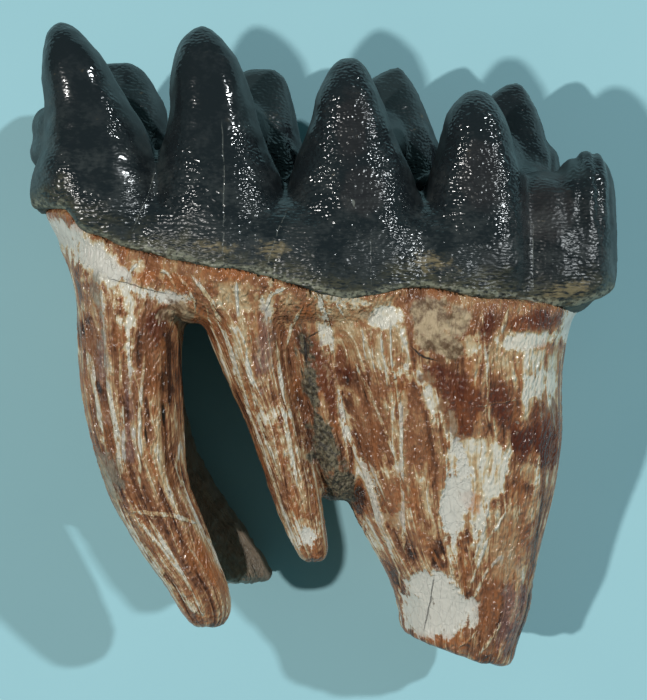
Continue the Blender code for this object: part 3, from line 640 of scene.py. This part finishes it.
rootLook = {
    "voxel": 0.99,
    "softening": 22,
    # noises, in rows of height, spacing, seed: the ribs and the first raggedness follow the grain
    "ribs": ((0.6, (9, 70, 9), 4), (0.62, (3.6, 45, 3.6), 5)),
    "lumps": ((0.5, 21, 6),),
    "grainRaggedness": ((0.9, (5, 14, 5), 41),),
    "raggedness": ((0.5, 6, 43), (0.5, 3, 42)),
    # rough parts: how far they stand out, and their noises
    "rough": {
        "crust": (0.3, ((0.9, 5, 7), (0.35, 2.4, 8))),
        "matrix": (0.0, ((0.8, 4, 10), (0.35, 2.2, 11))),
        "tongueRoot": (0.0, ((0.9, 5, 13), (0.4, 2.4, 14))),
        "chipped": (0.0, ((0.8, 7, 16), (0.3, 3, 17))),
    },
    "ribProfile": (0.6, 1.6),  # height at the crest, and how fast it falls away from there
    "crests": (0.04, 0.3),  # a fine rib's crest ends between these values of its noise
    "smoothedRibs": {"soft": 0.7, "chipped": 0.85},  # share that chalk and deposits, or the break, take
    "chalkSinks": 0.45,  # how far chalk lies lower
    "neckFade": 10.0,  # the ribs grow over this far below the neck
    "raggedFrom": (6, 26),  # the patches follow the grain from here down
    "hiddenTop": 4.0,  # how far the root mass shrinks inside the enamel
    "hiddenTopSpan": (-0.3, 3.0),  # over this far above the neck
    "chippedReach": (7, 1),  # distance from the break
    "chippedFrom": 10.0,  # X, so that only the back root is chipped
    "tongueRoot": (0.3, 0.7),  # share of the grain that is the front tongue root's
    "tongueEnd": (10, 35),  # its end turns grey between these distances below Y = 0
    "greyedPatches": 0.85,  # share of its patches that the grey hides
    "upper": (-0.35, -0.05),  # the side that faces up, by the normal's Z
    "grainsFacing": (0.25, 0.3, 0.7),  # least value, then the normal's Z where the skin is steep and flat
    # screen colours, from the darkest stain to bleached chalk
    "bleach": ((0.0, (60, 38, 29)), (0.15, (96, 60, 42)), (0.3, (126, 82, 57)), (0.45, (150, 103, 73)),
               (0.58, (170, 129, 92)), (0.72, (188, 157, 119)), (0.86, (203, 184, 152)),
               (1.0, (214, 205, 190))),
    "bleached": 0.47,  # of plain root
    # what bleaches and what stains it: noises, lines along the grain, then kinds of patches
    "streaks": {"broad": 0.9, "fine": 0.6},
    "lines": {"crest": 0.3, "groove": -0.18, "ribCrest": 0.32},
    "blotches": {"blotch": 1.0, "mottle": 0.6},
    "strokeBleach": 0.46,
    "hairlineStain": 0.14,
    "hairlines": (0.42, 0.34),  # values of their noise
    # lines where a noise crosses its middle: half width, then the values of the blotches that let them show
    "crestLines": (0.04, 0.6, 0.8),
    "grooveLines": (0.03, 0.4, 0.6),
    "strokeWear": (0.72, 1.0),  # the drawn lines are worn away below the first value of the noises
    "calmStreaks": 0.6,  # share of the streaks, and of the hairlines, that smooth and chalky parts lack
    "calmHairlines": 0.8,
    "bleaching": {"orange": -0.15, "cream": 0.4, "chalk": 0.85, "smoothBrown": -0.08, "redBrown": -0.22,
                  "dark": -0.4, "grey": -0.1, "pale": 0.2},
    # tints laid over it: share, colour; ochre also where its noise and the bleaching pass these values
    "ochre": (0.42, (182, 112, 64), (0.5, 0.68), (0.75, 0.45)),
    "tints": {
        "orange": (0.5, (182, 110, 62)),
        "smoothBrown": (0.35, (144, 90, 60)),
        "redBrown": (0.6, (96, 44, 30)),
        "purple": (0.4, (120, 98, 102)),
        "grey": (0.75, (132, 122, 106)),
        "chalk": (0.7, (205, 199, 190)),
    },
    # the two colours of each deposit, and the values of its noise where one turns into the other
    "deposits": {
        "crust": ((98, 72, 49), (184, 160, 128)),
        "matrix": ((56, 49, 39), (112, 101, 80)),
    },
    "depositSpan": (0.38, 0.62),
    "crackDark": (44, 35, 30),
    "sway": ((11, 22, 11), 6.0),  # the grain's lines sway: spacing, reach
    "grainSpeckles": {  # spacing across and along the grain, detail, roughness
        "broad": ((3.4, 36, 3.4),),
        "fine": ((1.2, 16, 1.2),),
        "hair": ((0.6, 20, 0.6), 1),
        "crest": ((4.6, 60, 4.6), 1),
        "groove": ((3.3, 44, 3.3), 1),
        "ochre": ((5, 16, 5), 2, 0.6),
        "wobble": ((2.5, 6, 2.5),),
    },
    "speckles": {  # spacing along each axis, detail, roughness
        "blotch": ((9, 13, 9), 3, 0.6),
        "mottle": ((2.2, 3.0, 2.2), 3, 0.65),
        "crust": ((5, 5, 5), 4, 0.7),
        "matrix": ((1.4, 1.4, 1.4), 2, 0.7),
        "grains": ((0.85, 1.9, 0.85), 0),
    },
    "crazing": (3.4, 5.0, 3.4),  # spacing of the fine cracks in the chalk
    "crazingMoved": {"mottle": 0.1},
    "crazingLines": (0.035, 0.01),
    "crazingDark": 0.1,
    "grains": (0.4, 1.2),  # height of the grains, and what the fine streaks add
    "dryGrains": 0.75,  # share of the grains that dry parts lack
    "patchEdge": (0.26, 0.68),  # values where a patch starts and where it is full
    "patchMoved": {"broad": 0.8, "fine": 0.6},  # noises along the grain that move its edge
    "mottleMoved": {"mottle": 1.4},
    "neck": (24, 6),  # millimetres below the neck's line, where the streaks calm down
    "neckCalms": 0.75,
    "strokeWobble": 4.0,
    "crackWobble": 3.0,
    "roughness": 0.19,
    "roughening": {"earthy": 0.4, "chalk": 0.14},
    "bump": {"broad": 0.15, "fine": 0.2, "stroke": 0.35, "crack": -0.3, "chalkCrack": -0.06, "groove": -0.1},
    "bumpDistance": 1.15,
    "gloss": 1.45,  # index of refraction
    "patches": {
        "orange": (
            (122, 256, 4, 9, 15), (148, 277, 14, 6, -25), (178, 284, 15, 8, 0), (226, 273, 24, 5, 4),
            (472, 501, 8, 6, -10), (542, 348, 9, 4, -8), (442, 639, 20, 3.5, 4), (306, 312, 8, 7, 0),
            (50, 218, 5, 3, 0), (74, 227, 5, 3, 0), (334, 425, 4, 8, 0), (203, 560, 9, 28, -40),
        ),
        "smoothBrown": (
            (372, 428, 14, 36, -4), (414, 430, 11, 46, 0), (394, 500, 13, 26, 0), (148, 352, 8, 46, 0),
            (510, 560, 16, 46, 10), (490, 600, 13, 38, 12), (90, 330, 5, 46, 0),
        ),
        "redBrown": (
            (440, 378, 24, 12, 20), (460, 406, 22, 26, 0), (468, 428, 10, 10, 0), (322, 376, 10, 40, -15),
            (158, 320, 9, 16, 10), (534, 321, 28, 8, -4), (487, 332, 5, 20, 3), (500, 405, 12, 20, 0),
            (545, 434, 15, 32, 0), (522, 445, 8, 16, 0), (345, 366, 7, 16, -14),
        ),
        "purple": ((262, 350, 8, 34, 0), (130, 420, 5, 28, 0), (512, 612, 10, 34, 8), (104, 330, 3, 38, 0)),
        "grey": ((56, 236, 12, 6, 35), (110, 478, 8, 22, -20), (100, 300, 4, 26, -5)),
        # dark: darker patches; the first, down the front root's right flank, is painted shade
        "dark": (
            (168, 368, 8, 42, 0), (440, 558, 7, 11, 0), (412, 535, 5, 19, 0), (357, 497, 11, 17, -20),
            (489, 660, 14, 6, 10), (531, 560, 7, 50, 6), (514, 640, 12, 16, 10), (495, 502, 3.5, 4, 0),
            (513, 484, 5, 5, 0), (186, 312, 5, 4, 0), (543, 450, 10, 16, 0), (524, 442, 8, 8, 0),
        ),
        "cream": (
            (92, 256, 36, 14, 42), (112, 282, 22, 6, 15), (140, 290, 22, 4, 12), (129, 316, 3.5, 30, 0),
            (92, 245, 30, 9, 28), (104, 300, 3.5, 18, 0), (118, 306, 2.5, 14, 0), (138, 266, 6, 7, 20),
            (160, 276, 4, 5, 0), (66, 240, 14, 9, 45), (270, 300, 8, 14, 15), (324, 331, 5, 20, -8),
            (345, 300, 24, 5, 8), (386, 318, 16, 12, 0), (420, 376, 21, 8, 8), (437, 405, 9, 34, -25),
            (478, 462, 31, 27, 0), (464, 500, 22, 36, 5), (490, 478, 14, 20, 0), (530, 474, 9, 11, 0),
            (345, 420, 3, 38, -20), (345, 391, 8, 5, 0), (384, 470, 11, 4, -5), (272, 415, 10, 4, -5),
            (302, 448, 5, 20, -10), (304, 530, 12, 13, 0), (532, 341, 30, 7, -4), (538, 382, 14, 12, 0),
            (470, 344, 13, 10, -30), (573, 325, 12, 24, 10), (560, 300, 22, 5, 4), (374, 548, 5, 24, -16),
            (390, 518, 12, 5, 10), (415, 526, 3, 3, 0), (453, 552, 6, 8, 0), (404, 396, 3, 18, 0),
        ),
        "chalk": (
            (437, 612, 36, 25, 0), (430, 588, 22, 17, 0), (452, 622, 22, 14, -10), (165, 298, 17, 6, 8),
            (455, 498, 11, 34, 6), (306, 535, 7, 8, 0), (572, 322, 8, 17, 10), (66, 234, 20, 9, 35),
            (98, 261, 27, 9, 32),
        ),
        "crust": (
            (430, 318, 22, 20, 0), (458, 321, 16, 15, -20), (438, 341, 24, 12, 20), (178, 314, 17, 11, 10),
            (364, 314, 4.5, 4, 0),
        ),
        "matrix": (
            (305, 345, 6, 26, -10), (313, 390, 8, 30, -14), (325, 446, 13, 34, -18),
            (342, 484, 15, 22, -24), (312, 455, 5, 8, 0),
        ),
        "pale": (
            (364, 332, 42, 38, 0), (520, 352, 42, 28, 0), (538, 398, 16, 22, 0), (504, 545, 30, 42, 10),
            (522, 512, 16, 22, 0), (100, 262, 30, 16, 35), (140, 285, 26, 7, 12), (96, 350, 14, 50, 0),
            (240, 300, 22, 16, 20),
        ),
    },
    # on the hidden side a kind of patch shows where its noise is above its level
    "hiddenSpacing": (13, 34, 13),
    "hiddenSeed": 50,
    "hiddenSoftness": 0.1,
    "hiddenFrom": {"orange": 0.35, "smoothBrown": 0.05, "redBrown": 0.25, "purple": 0.45, "grey": 0.45,
                   "dark": 0.35, "cream": 0.2, "chalk": 0.45, "crust": 0.5, "matrix": 0.5, "pale": 0.1},
    "strokes": (  # pale lines along the grain, from the front root to the back
        (0.9, (102, 287), (105, 325), (106, 372)), (1.6, (90, 352), (98, 405), (104, 448)),
        (1.5, (106, 377), (114, 422), (122, 480)), (1.3, (122, 396), (124, 466)),
        (1.2, (144, 353), (139, 420), (140, 488)), (1.8, (99, 456), (138, 540), (166, 578), (200, 614)),
        (1.7, (134, 512), (172, 515), (194, 523)), (1.2, (179, 440), (175, 466), (192, 512), (229, 583)),
        (1.2, (136, 516), (164, 552), (186, 580)), (1.4, (148, 518), (174, 560), (205, 616)),
        (0.9, (176, 532), (208, 573)), (1.5, (192, 275), (212, 301), (228, 340), (252, 420), (292, 530)),
        (1.0, (206, 305), (218, 341), (234, 390)), (1.1, (236, 279), (238, 318)),
        (1.4, (265, 310), (271, 293), (290, 286)), (0.9, (250, 317), (251, 345)),
        (1.6, (246, 353), (258, 413), (282, 482)), (1.6, (276, 341), (284, 417), (296, 484)),
        (1.4, (286, 346), (292, 325), (303, 306)), (2.2, (318, 295), (328, 325), (332, 350)),
        (1.0, (334, 301), (347, 320)), (0.7, (362, 324), (367, 364)), (0.7, (371, 326), (375, 372)),
        (0.8, (380, 320), (388, 390)), (0.8, (390, 320), (392, 380)),
        (2.0, (338, 389), (343, 422), (366, 472), (379, 518)), (1.2, (354, 360), (370, 392), (395, 457)),
        (1.4, (394, 372), (401, 410), (402, 480), (405, 550)), (1.1, (368, 460), (387, 502)),
        (1.0, (387, 536), (400, 572), (400, 602)), (0.7, (468, 407), (523, 399)),
        (0.9, (482, 312), (486, 364), (490, 426)), (1.4, (508, 308), (502, 334)),
        (1.0, (490, 498), (482, 536), (472, 564)), (1.0, (506, 510), (488, 540), (468, 592)),
        (0.9, (520, 496), (517, 524)), (1.2, (504, 552), (486, 572), (473, 600)),
        (1.0, (478, 630), (458, 649)), (1.2, (502, 620), (478, 656)), (0.9, (539, 544), (522, 616)),
        (0.8, (548, 392), (556, 438)), (1.1, (142, 260), (130, 272), (126, 285)),
        (1.1, (150, 266), (168, 274), (177, 289)), (1.2, (176, 272), (190, 290), (196, 310)),
    ),
    "cracks": (
        (0.5, (106, 278), (126, 283), (150, 290), (168, 295)), (1.3, (163, 403), (164, 427)),
        (1.0, (145, 424), (147, 446)), (0.6, (435, 574), (430, 602), (423, 633)),
        (1.2, (305, 338), (307, 366)), (0.9, (410, 346), (422, 356), (438, 361)),
        (0.7, (362, 385), (368, 404)), (1.0, (308, 338), (320, 330)),
    ),
}


def grainOf(points):
    # Each root's sections are stretched back to its top section, so that a streak keeps its place on the way
    # down and all of them draw together at the tip. Near roots are blended by exp(-falloff r^2).
    blend = grainBlend
    total, weights = np.zeros((len(points), 2)), np.zeros(len(points))
    for name, (levels, *_) in rootShapes.items():
        rows = curveThrough(levels, pathSteps)[::-1]
        x, z, hx, hz = (np.interp(points[:, 1], rows[:, 1], rows[:, k]) for k in (0, 2, 3, 4))
        u, v = (points[:, 0] - x) / hx, (points[:, 2] - z) / hz
        top = levels[0]
        r = np.sqrt(u * u + v * v) + 1e-6  # never 0, and neither is the weight
        weight = np.exp(-blend["falloff"] * r * r) + 1e-12
        total += np.stack([top[0] + u / r * top[3], top[2] + v / r * top[4]], axis=1) * weight[:, None]
        weights += weight
        if name == "frontTongue":
            tongueRoot = weight
    total /= weights[:, None]
    near = smoothStep(points[:, 1], *blend["neck"])[:, None]
    middle, half = blend["middle"], blend["halfThickness"]
    flatter = middle + half * np.sin(np.clip((points[:, 2] - middle) / half, -1, 1) * math.pi / 2)
    total = total * (1 - near) + np.stack([points[:, 0], flatter], axis=1) * near
    return np.stack([total[:, 0], points[:, 1], total[:, 1]], axis=1), tongueRoot / weights


def sculptRoots(piece):
    # Two sets of ribs follow the grain, sharp at their crests, over low lumps, and fade out at the neck.
    # Crust, matrix, the grey end of the front tongue root and the broken end stand rough.
    points, normals = readPoints(piece)
    look = rootLook
    below = lineHeight(neckLine, points[:, 0]) - points[:, 1]
    grain, tongueRoot = grainOf(points)
    seen = picturePlace(points)
    upper = smoothStep(normals[:, 2], *look["upper"])
    ragged = smoothStep(below, *look["raggedFrom"]) * layered(grain, look["grainRaggedness"])
    ragged += layered(points, look["raggedness"])
    fields = patchFields(look, seen, ragged, upper, grain)
    tongueEnd = smoothStep(tongueRoot, *look["tongueRoot"]) * smoothStep(-points[:, 1], *look["tongueEnd"])
    for name in fields:
        fields[name] = fields[name] * (1 - look["greyedPatches"] * tongueEnd)
    fields["grey"] = np.maximum(fields["grey"], tongueEnd)
    crestHeight, slope = look["ribProfile"]
    ribs = np.zeros(len(points))
    for height, spacing, seed in look["ribs"]:
        fromCrest = abs(latticeNoise(grain, spacing, seed))
        ribs += height * (crestHeight - slope * fromCrest)
    soft = np.clip(fields["chalk"] + fields["crust"] + fields["matrix"], 0, 1)
    chipped = smoothStep(pastBreak(points)[0], *look["chippedReach"]) * (points[:, 0] > look["chippedFrom"])
    ribs *= 1 - look["smoothedRibs"]["soft"] * soft
    ribs *= 1 - look["smoothedRibs"]["chipped"] * chipped
    rise = ribs + layered(points, look["lumps"]) - look["chalkSinks"] * fields["chalk"]
    rise *= np.clip(below / look["neckFade"], 0, 1)
    parts = {**fields, "tongueRoot": tongueEnd, "chipped": chipped}
    for name, (height, noises) in look["rough"].items():
        rise += parts[name] * (height + layered(points, noises))
    rise -= look["hiddenTop"] * smoothStep(-below, *look["hiddenTopSpan"])
    points = points + normals * rise[:, None]
    for name, values in fields.items():
        writeField(piece, name, values)
    strokeFields(piece, "stroke", seen, look["strokes"], upper)
    strokeFields(piece, "crack", seen, look["cracks"], upper)
    writeField(piece, "belowNeck", below)
    writeField(piece, "ribCrest", 1 - smoothStep(fromCrest, *look["crests"]))
    writeField(piece, "facing", flatness(normals, *look["grainsFacing"]))
    writeField(piece, "grain", grain)
    return points


class Wire:
    # Wraps a shader socket, so that sums on sockets read as Python
    tree = None

    def __init__(self, socket):
        self.socket = socket

    @classmethod
    def node(cls, kind, settings=None, inputs=None, output=0):
        made = cls.tree.nodes.new(kind)
        for key, value in (settings or {}).items():
            if key == "stops":
                while len(made.color_ramp.elements) < len(value):
                    made.color_ramp.elements.new(1.0)
                for element, (position, colour) in zip(made.color_ramp.elements, value):
                    element.position, element.color = position, colour
            else:
                setattr(made, key, value)
        for key, value in (inputs or {}).items():
            if isinstance(value, Wire):
                cls.tree.links.new(value.socket, made.inputs[key])
            else:
                made.inputs[key].default_value = value
        return cls(made.outputs[output]) if len(made.outputs) else None

    def maths(self, operation, other=0.0):
        return Wire.node("ShaderNodeMath", {"operation": operation}, {0: self, 1: other})

    def __add__(self, other):
        return self.maths("ADD", other)

    def __radd__(self, other):
        return self.maths("ADD", other)

    def __sub__(self, other):
        return self.maths("SUBTRACT", other)

    def __rsub__(self, other):
        return Wire.node("ShaderNodeMath", {"operation": "SUBTRACT"}, {0: other, 1: self})

    def __mul__(self, other):
        return self.maths("MULTIPLY", other)

    def __rmul__(self, other):
        return self.maths("MULTIPLY", other)

    def __or__(self, other):
        return self.maths("MAXIMUM", other)

    def __abs__(self):
        return self.maths("ABSOLUTE")


def srgb(r, g, b):
    # A colour from 0-255 screen values to the linear values that sockets take
    linear = [v / 255 / 12.92 if v <= 10 else ((v / 255 + 0.055) / 1.055) ** 2.4 for v in (r, g, b)]
    return (*linear, 1.0)


def startPaint(name):
    material = bpy.data.materials.new(name)
    material.use_nodes = True
    material.node_tree.nodes.clear()
    Wire.tree = material.node_tree
    return material


def finishPaint(sockets):
    # The closing shader: values and links by the name of the socket
    surface = Wire.node("ShaderNodeBsdfPrincipled", None, sockets)
    Wire.node("ShaderNodeOutputMaterial", None, {"Surface": surface})


def mix(share, first, second):
    return Wire.node("ShaderNodeMix", {"data_type": "RGBA"}, {0: share, 6: first, 7: second}, 2)


def ramp(value, low, high):
    # Smooth from 0 at low to 1 at high
    return Wire.node("ShaderNodeMapRange", {"interpolation_type": "SMOOTHSTEP"},
                     {"Value": value, "From Min": low, "From Max": high, "To Min": 0.0, "To Max": 1.0})


def stained(value, stops):
    # A colour between stops, each a value and a screen colour
    colours = [(at, srgb(*colour)) for at, colour in stops]
    return Wire.node("ShaderNodeValToRGB", {"stops": colours}, {"Fac": value})


def spaced(place, sizes):
    # Coordinates divided by a size for each axis, so that a pattern of scale 1 has that spacing
    return Wire.node("ShaderNodeVectorMath", {"operation": "DIVIDE"}, {0: place, 1: sizes})


def speckle(place, sizes, detail=2.0, rough=0.5):
    return Wire.node("ShaderNodeTexNoise", {"noise_dimensions": "3D"},
                     {"Vector": spaced(place, sizes), "Scale": 1.0, "Detail": detail, "Roughness": rough})


def swayed(place, sizes, reach):
    # Places moved to and fro by a noise of the sizes, by about a quarter of the reach
    sway = Wire.node("ShaderNodeTexNoise", {"noise_dimensions": "3D"},
                     {"Vector": spaced(place, sizes), "Scale": 1.0, "Detail": 1.0}, "Color")
    return Wire.node("ShaderNodeVectorMath", {"operation": "MULTIPLY_ADD"},
                     {0: sway, 1: (reach, reach, reach), 2: place})


def crazing(place, sizes):
    # Distance to the nearest edge between cells
    return Wire.node("ShaderNodeTexVoronoi", {"feature": "DISTANCE_TO_EDGE"},
                     {"Vector": spaced(place, sizes), "Scale": 1.0})


def objectMillimetres():
    place = Wire.node("ShaderNodeTexCoord", None, None, "Object")
    return Wire.node("ShaderNodeVectorMath", {"operation": "SCALE"}, {0: place, "Scale": 1 / mm})


def field(name, output="Fac"):
    return Wire.node("ShaderNodeAttribute", {"attribute_name": name}, None, output)


def bump(height, distance):
    return Wire.node("ShaderNodeBump", None, {"Height": height, "Distance": distance * mm, "Strength": 1.0})


def centred(noise):
    return noise - 0.5


def stirred(value, noises, shares):
    # A value moved to and fro by noises, each with its share
    for name, share in shares.items():
        value = value + share * centred(noises[name])
    return value


def thinLine(noise, halfWidth):
    # 1 where a noise crosses its middle, and 0 from the half width on
    return ramp(abs(centred(noise)), halfWidth, 0.0)


def weighed(masks, shares, value):
    # A value, and the sum of masks, each with its share
    for name, share in shares.items():
        value = value + share * masks[name]
    return value


def drawn(name, wobble):
    # The strokes of all groups: from 1 on the line to 0 at twice the width, moved sideways by a wobble
    line = 0.0
    for group in range(pictureView["strokeGroups"]):
        away = abs(field(f"{name}Across{group}") + wobble)
        line = ramp(2 * field(f"{name}Width{group}") - away, 0.0, pictureView["strokeEdge"]) | line
    return line


def paintEnamel():
    # Black with dusty and brown-cast parts, greyer low on the walls. Steep skin and the matt heel are darker
    # as painted shade, matt slopes carry a painted teal sheen, and a painted grey sheen lies in streaks where
    # the walls shine. An olive band above a pale rim at the neck, and fine pale cracks. Small pits break the
    # gloss into points, and folds lie in crosswise rows low down.
    material = startPaint("blackEnamel")
    look = crownLook
    place = objectMillimetres()
    above, broadside = field("aboveNeck"), field("broadside")
    noises = {name: speckle(place, *row) for name, row in look["speckles"].items()}
    starts = {"dust": 0.0, "greyed": 0.0, "olive": above, "rim": above, "rimFoot": above}
    masks = {"matt": field("matt"), "low": ramp(above, *look["low"]), "steep": 1 - broadside}
    for name, (shares, low, high) in look["masks"].items():
        start = starts[name] if name in starts else field(name)
        masks[name] = ramp(stirred(start, noises, shares), low, high)
    masks["crack"] = drawn("crack", look["crackWobble"] * centred(noises["crackWobble"]))
    masks["rim"] = masks["rim"] * masks["rimFoot"]
    masks["edge"] = masks["rim"] | masks["tan"]
    dull = weighed(masks, look["roughening"], look["roughness"])
    rise = look["bump"]
    pits = (rise["pits"] + rise["lowPits"] * masks["low"]) * noises["pits"]
    folds = (rise["lowFolds"] * masks["low"] + rise["sheenFolds"] * masks["sheen"]) * noises["folds"]
    height = field("pitted") * (pits + folds) + rise["crack"] * masks["crack"]
    # painted sheen: grey streaks where the walls shine join the greyed low walls
    masks["greyed"] = masks["low"] * masks["greyed"] | (look["sheenGrey"] * masks["sheen"] * noises["rows"])
    for name, (noise, low, high) in look["wear"].items():
        masks[name] = masks[name] * ramp(noises[noise], low, high)
    # painted shade: steep skin takes the darker flank colour, flat skin the black
    colour = mix(broadside, srgb(*look["shadedFlank"]), srgb(*look["black"]))
    for name, (share, coat) in look["coats"].items():
        colour = mix(share * masks[name], colour, srgb(*coat))
    finishPaint({"Base Color": colour, "Roughness": dull, "IOR": look["gloss"],
                 "Normal": bump(height, look["bumpDistance"])})
    return material


def paintRoots():
    # One value, bleaching, picks the colour from dark stain to chalk: streaks along the grain, blotches,
    # patches and strokes add to it or take from it, so that they melt together; one dark patch is painted
    # shade.
    # Tints, crust, matrix and cracks follow. A varnish glitters on fine grains.
    material = startPaint("varnishedRoot")
    look = rootLook
    place = objectMillimetres()
    grain = swayed(field("grain", "Vector"), *look["sway"])
    noises = {name: speckle(grain, *row) for name, row in look["grainSpeckles"].items()}
    noises.update({name: speckle(place, *row) for name, row in look["speckles"].items()})
    fine, blotch, mottle = noises["fine"], noises["blotch"], noises["mottle"]
    neck = ramp(field("belowNeck"), *look["neck"])
    edge = (1 - look["neckCalms"] * neck) * stirred(0.0, noises, look["patchMoved"])
    edge = stirred(edge, noises, look["mottleMoved"])
    masks = {name: ramp(field(name) + edge, *look["patchEdge"]) for name in look["patches"]}
    calm = masks["redBrown"] | masks["smoothBrown"] | masks["chalk"] | masks["grey"] | neck
    halfWidth, low, high = look["crestLines"]
    masks["crest"] = thinLine(noises["crest"], halfWidth) * ramp(blotch + 0.5 * fine, low, high)
    halfWidth, low, high = look["grooveLines"]
    masks["groove"] = thinLine(noises["groove"], halfWidth) * ramp(mottle, low, high)
    masks["ribCrest"] = centred(field("ribCrest"))
    stroke = drawn("stroke", look["strokeWobble"] * centred(noises["wobble"]))
    stroke = stroke * ramp(fine + mottle, *look["strokeWear"])
    crack = drawn("crack", look["crackWobble"] * centred(mottle))
    streaks = weighed(masks, look["lines"], stirred(0.0, noises, look["streaks"]))
    streaks = streaks * (1 - look["calmStreaks"] * calm)
    bleaching = stirred(look["bleached"] + streaks, noises, look["blotches"])
    bleaching = weighed(masks, look["bleaching"], bleaching + look["strokeBleach"] * stroke)
    hairline = ramp(noises["hair"], *look["hairlines"]) * (1 - look["calmHairlines"] * calm)
    colour = stained(bleaching - look["hairlineStain"] * hairline, look["bleach"])
    share, tint, inNoise, inBleaching = look["ochre"]
    ochre = ramp(noises["ochre"], *inNoise) * ramp(bleaching, *inBleaching)
    colour = mix(share * ochre, colour, srgb(*tint))
    for name, (share, tint) in look["tints"].items():
        colour = mix(share * masks[name], colour, srgb(*tint))
    for name, (dark, pale) in look["deposits"].items():
        deposit = mix(ramp(noises[name], *look["depositSpan"]), srgb(*dark), srgb(*pale))
        colour = mix(masks[name], colour, deposit)
    fromCrack = stirred(crazing(place, look["crazing"]), noises, look["crazingMoved"])
    chalkCrack = ramp(fromCrack, *look["crazingLines"]) * masks["chalk"]
    colour = mix(crack | (look["crazingDark"] * chalkCrack), colour, srgb(*look["crackDark"]))
    masks["earthy"] = masks["crust"] | masks["matrix"] | (0.5 * masks["grey"])
    dry = masks["chalk"] | (0.5 * masks["cream"]) | (0.5 * masks["crust"])
    least, more = look["grains"]
    grains = noises["grains"] * (least + more * fine) * (1 - look["dryGrains"] * dry) * field("facing")
    parts = {"broad": noises["broad"], "fine": fine, "stroke": stroke, "crack": crack,
             "chalkCrack": chalkCrack, "groove": masks["groove"]}
    height = weighed(parts, look["bump"], grains)
    finishPaint({"Base Color": colour, "Roughness": weighed(masks, look["roughening"], look["roughness"]),
                 "IOR": look["gloss"], "Normal": bump(height, look["bumpDistance"])})
    return material


studio = {
    # direction towards each light, distance in metres, size of its square face, power in watts, colour
    "lights": {
        "leftLight": ((-55, -11, 76), 4.0, 0.12, 104.0, (1.0, 0.98, 0.94)),
        "rightLight": ((46, 19, 46), 4.0, 0.12, 88.0, (0.92, 0.98, 1.0)),
    },
    "aim": (0.0, 0.0, 0.04),
    "world": (0.45, 0.9, 0.95, 0.13),  # colour, strength
    "sensor": 36.0,
    "nearest": 0.01,
    "floorReach": 4.0,
    "floorLevel": -0.00005,
    "floorColours": ((154, 198, 207), (159, 203, 212)),
    "floorSpeckle": (60, 60, 60),
    "floorRoughness": 0.85,
}


def paintFloor():
    material = startPaint("paleFloor")
    first, second = studio["floorColours"]
    colour = mix(speckle(objectMillimetres(), studio["floorSpeckle"]), srgb(*first), srgb(*second))
    finishPaint({"Base Color": colour, "Roughness": studio["floorRoughness"]})
    return material


def addLights():
    for name, (direction, distance, size, power, colour) in studio["lights"].items():
        lamp = bpy.data.lights.new(name, "AREA")
        lamp.shape, lamp.size, lamp.energy, lamp.color = "SQUARE", size, power, colour
        holder = bpy.data.objects.new(name, lamp)
        towards = Vector(direction).normalized()
        holder.location = towards * distance + Vector(studio["aim"])
        holder.rotation_euler = (-towards).to_track_quat("-Z", "Y").to_euler()
        bpy.context.scene.collection.objects.link(holder)
    world = bpy.data.worlds.new("softRoom")
    world.use_nodes = True
    shade = world.node_tree.nodes["Background"]
    shade.inputs["Color"].default_value = (*studio["world"][:3], 1)
    shade.inputs["Strength"].default_value = studio["world"][3]
    bpy.context.scene.world = world
    bpy.context.scene.view_settings.view_transform = "Standard"


def addCamera():
    # Straight down; the longer side of the picture spans the sensor
    camera = bpy.data.objects.new("camera", bpy.data.cameras.new("camera"))
    camera.data.lens = pictureView["focal"] * studio["sensor"] / max(pictureView["size"])
    camera.data.sensor_width = studio["sensor"]
    camera.data.clip_start = studio["nearest"]
    camera.location = Vector((tableShift[0], tableShift[1], pictureView["height"])) * mm
    bpy.context.scene.collection.objects.link(camera)
    bpy.context.scene.camera = camera


def addFloor():
    reach, level = studio["floorReach"], studio["floorLevel"]
    corners = [(x, y, level) for x, y in ((-reach, -reach), (reach, -reach), (reach, reach), (-reach, reach))]
    mesh = bpy.data.meshes.new("floor")
    mesh.from_pydata(corners, [], [(0, 1, 2, 3)])
    floor = bpy.data.objects.new("floor", mesh)
    bpy.context.scene.collection.objects.link(floor)
    mesh.materials.append(paintFloor())


def buildCrown():
    shapes = [crownBody()]
    for (cheekTip, cheekLevels), (tongueTip, tongueLevels) in zip(cuspShapes["cheek"], cuspShapes["tongue"]):
        shapes.append(cusp(cheekTip, cheekLevels, cuspShapes["cheekFaces"], 1))
        shapes.append(cusp(tongueTip, tongueLevels, cuspShapes["tongueFaces"], -1))
        shapes.append(lophRidge(cheekTip, tongueTip))
    shapes += [cusp(tip, levels, cuspShapes["heelFaces"], 1) for tip, levels in cuspShapes["heel"]]
    shapes += [ball(centre, half) for centre, half in crownLumps]
    piece = fuse("enamelCrown", shapes, crownLook["voxel"], crownLook["softening"])
    layDown(piece, sculptCrown(piece))
    piece.data.materials.append(paintEnamel())
    return piece


def buildRoots():
    shapes = [rootStock()]
    for name, (levels, tipLength, power) in rootShapes.items():
        shapes.append(rootBranch(levels, tipLength, power, name == brokenEnd["root"]))
    shapes += [ball(centre, half) for centre, half in rootLumps]
    piece = fuse("rootMass", shapes, rootLook["voxel"], rootLook["softening"])
    layDown(piece, sculptRoots(piece))
    piece.data.materials.append(paintRoots())
    return piece


crown = buildCrown()
roots = buildRoots()
for piece in (crown, roots):
    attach(piece, "root")
    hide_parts("tooth")
addFloor()
addLights()
addCamera()
print("studio ready")
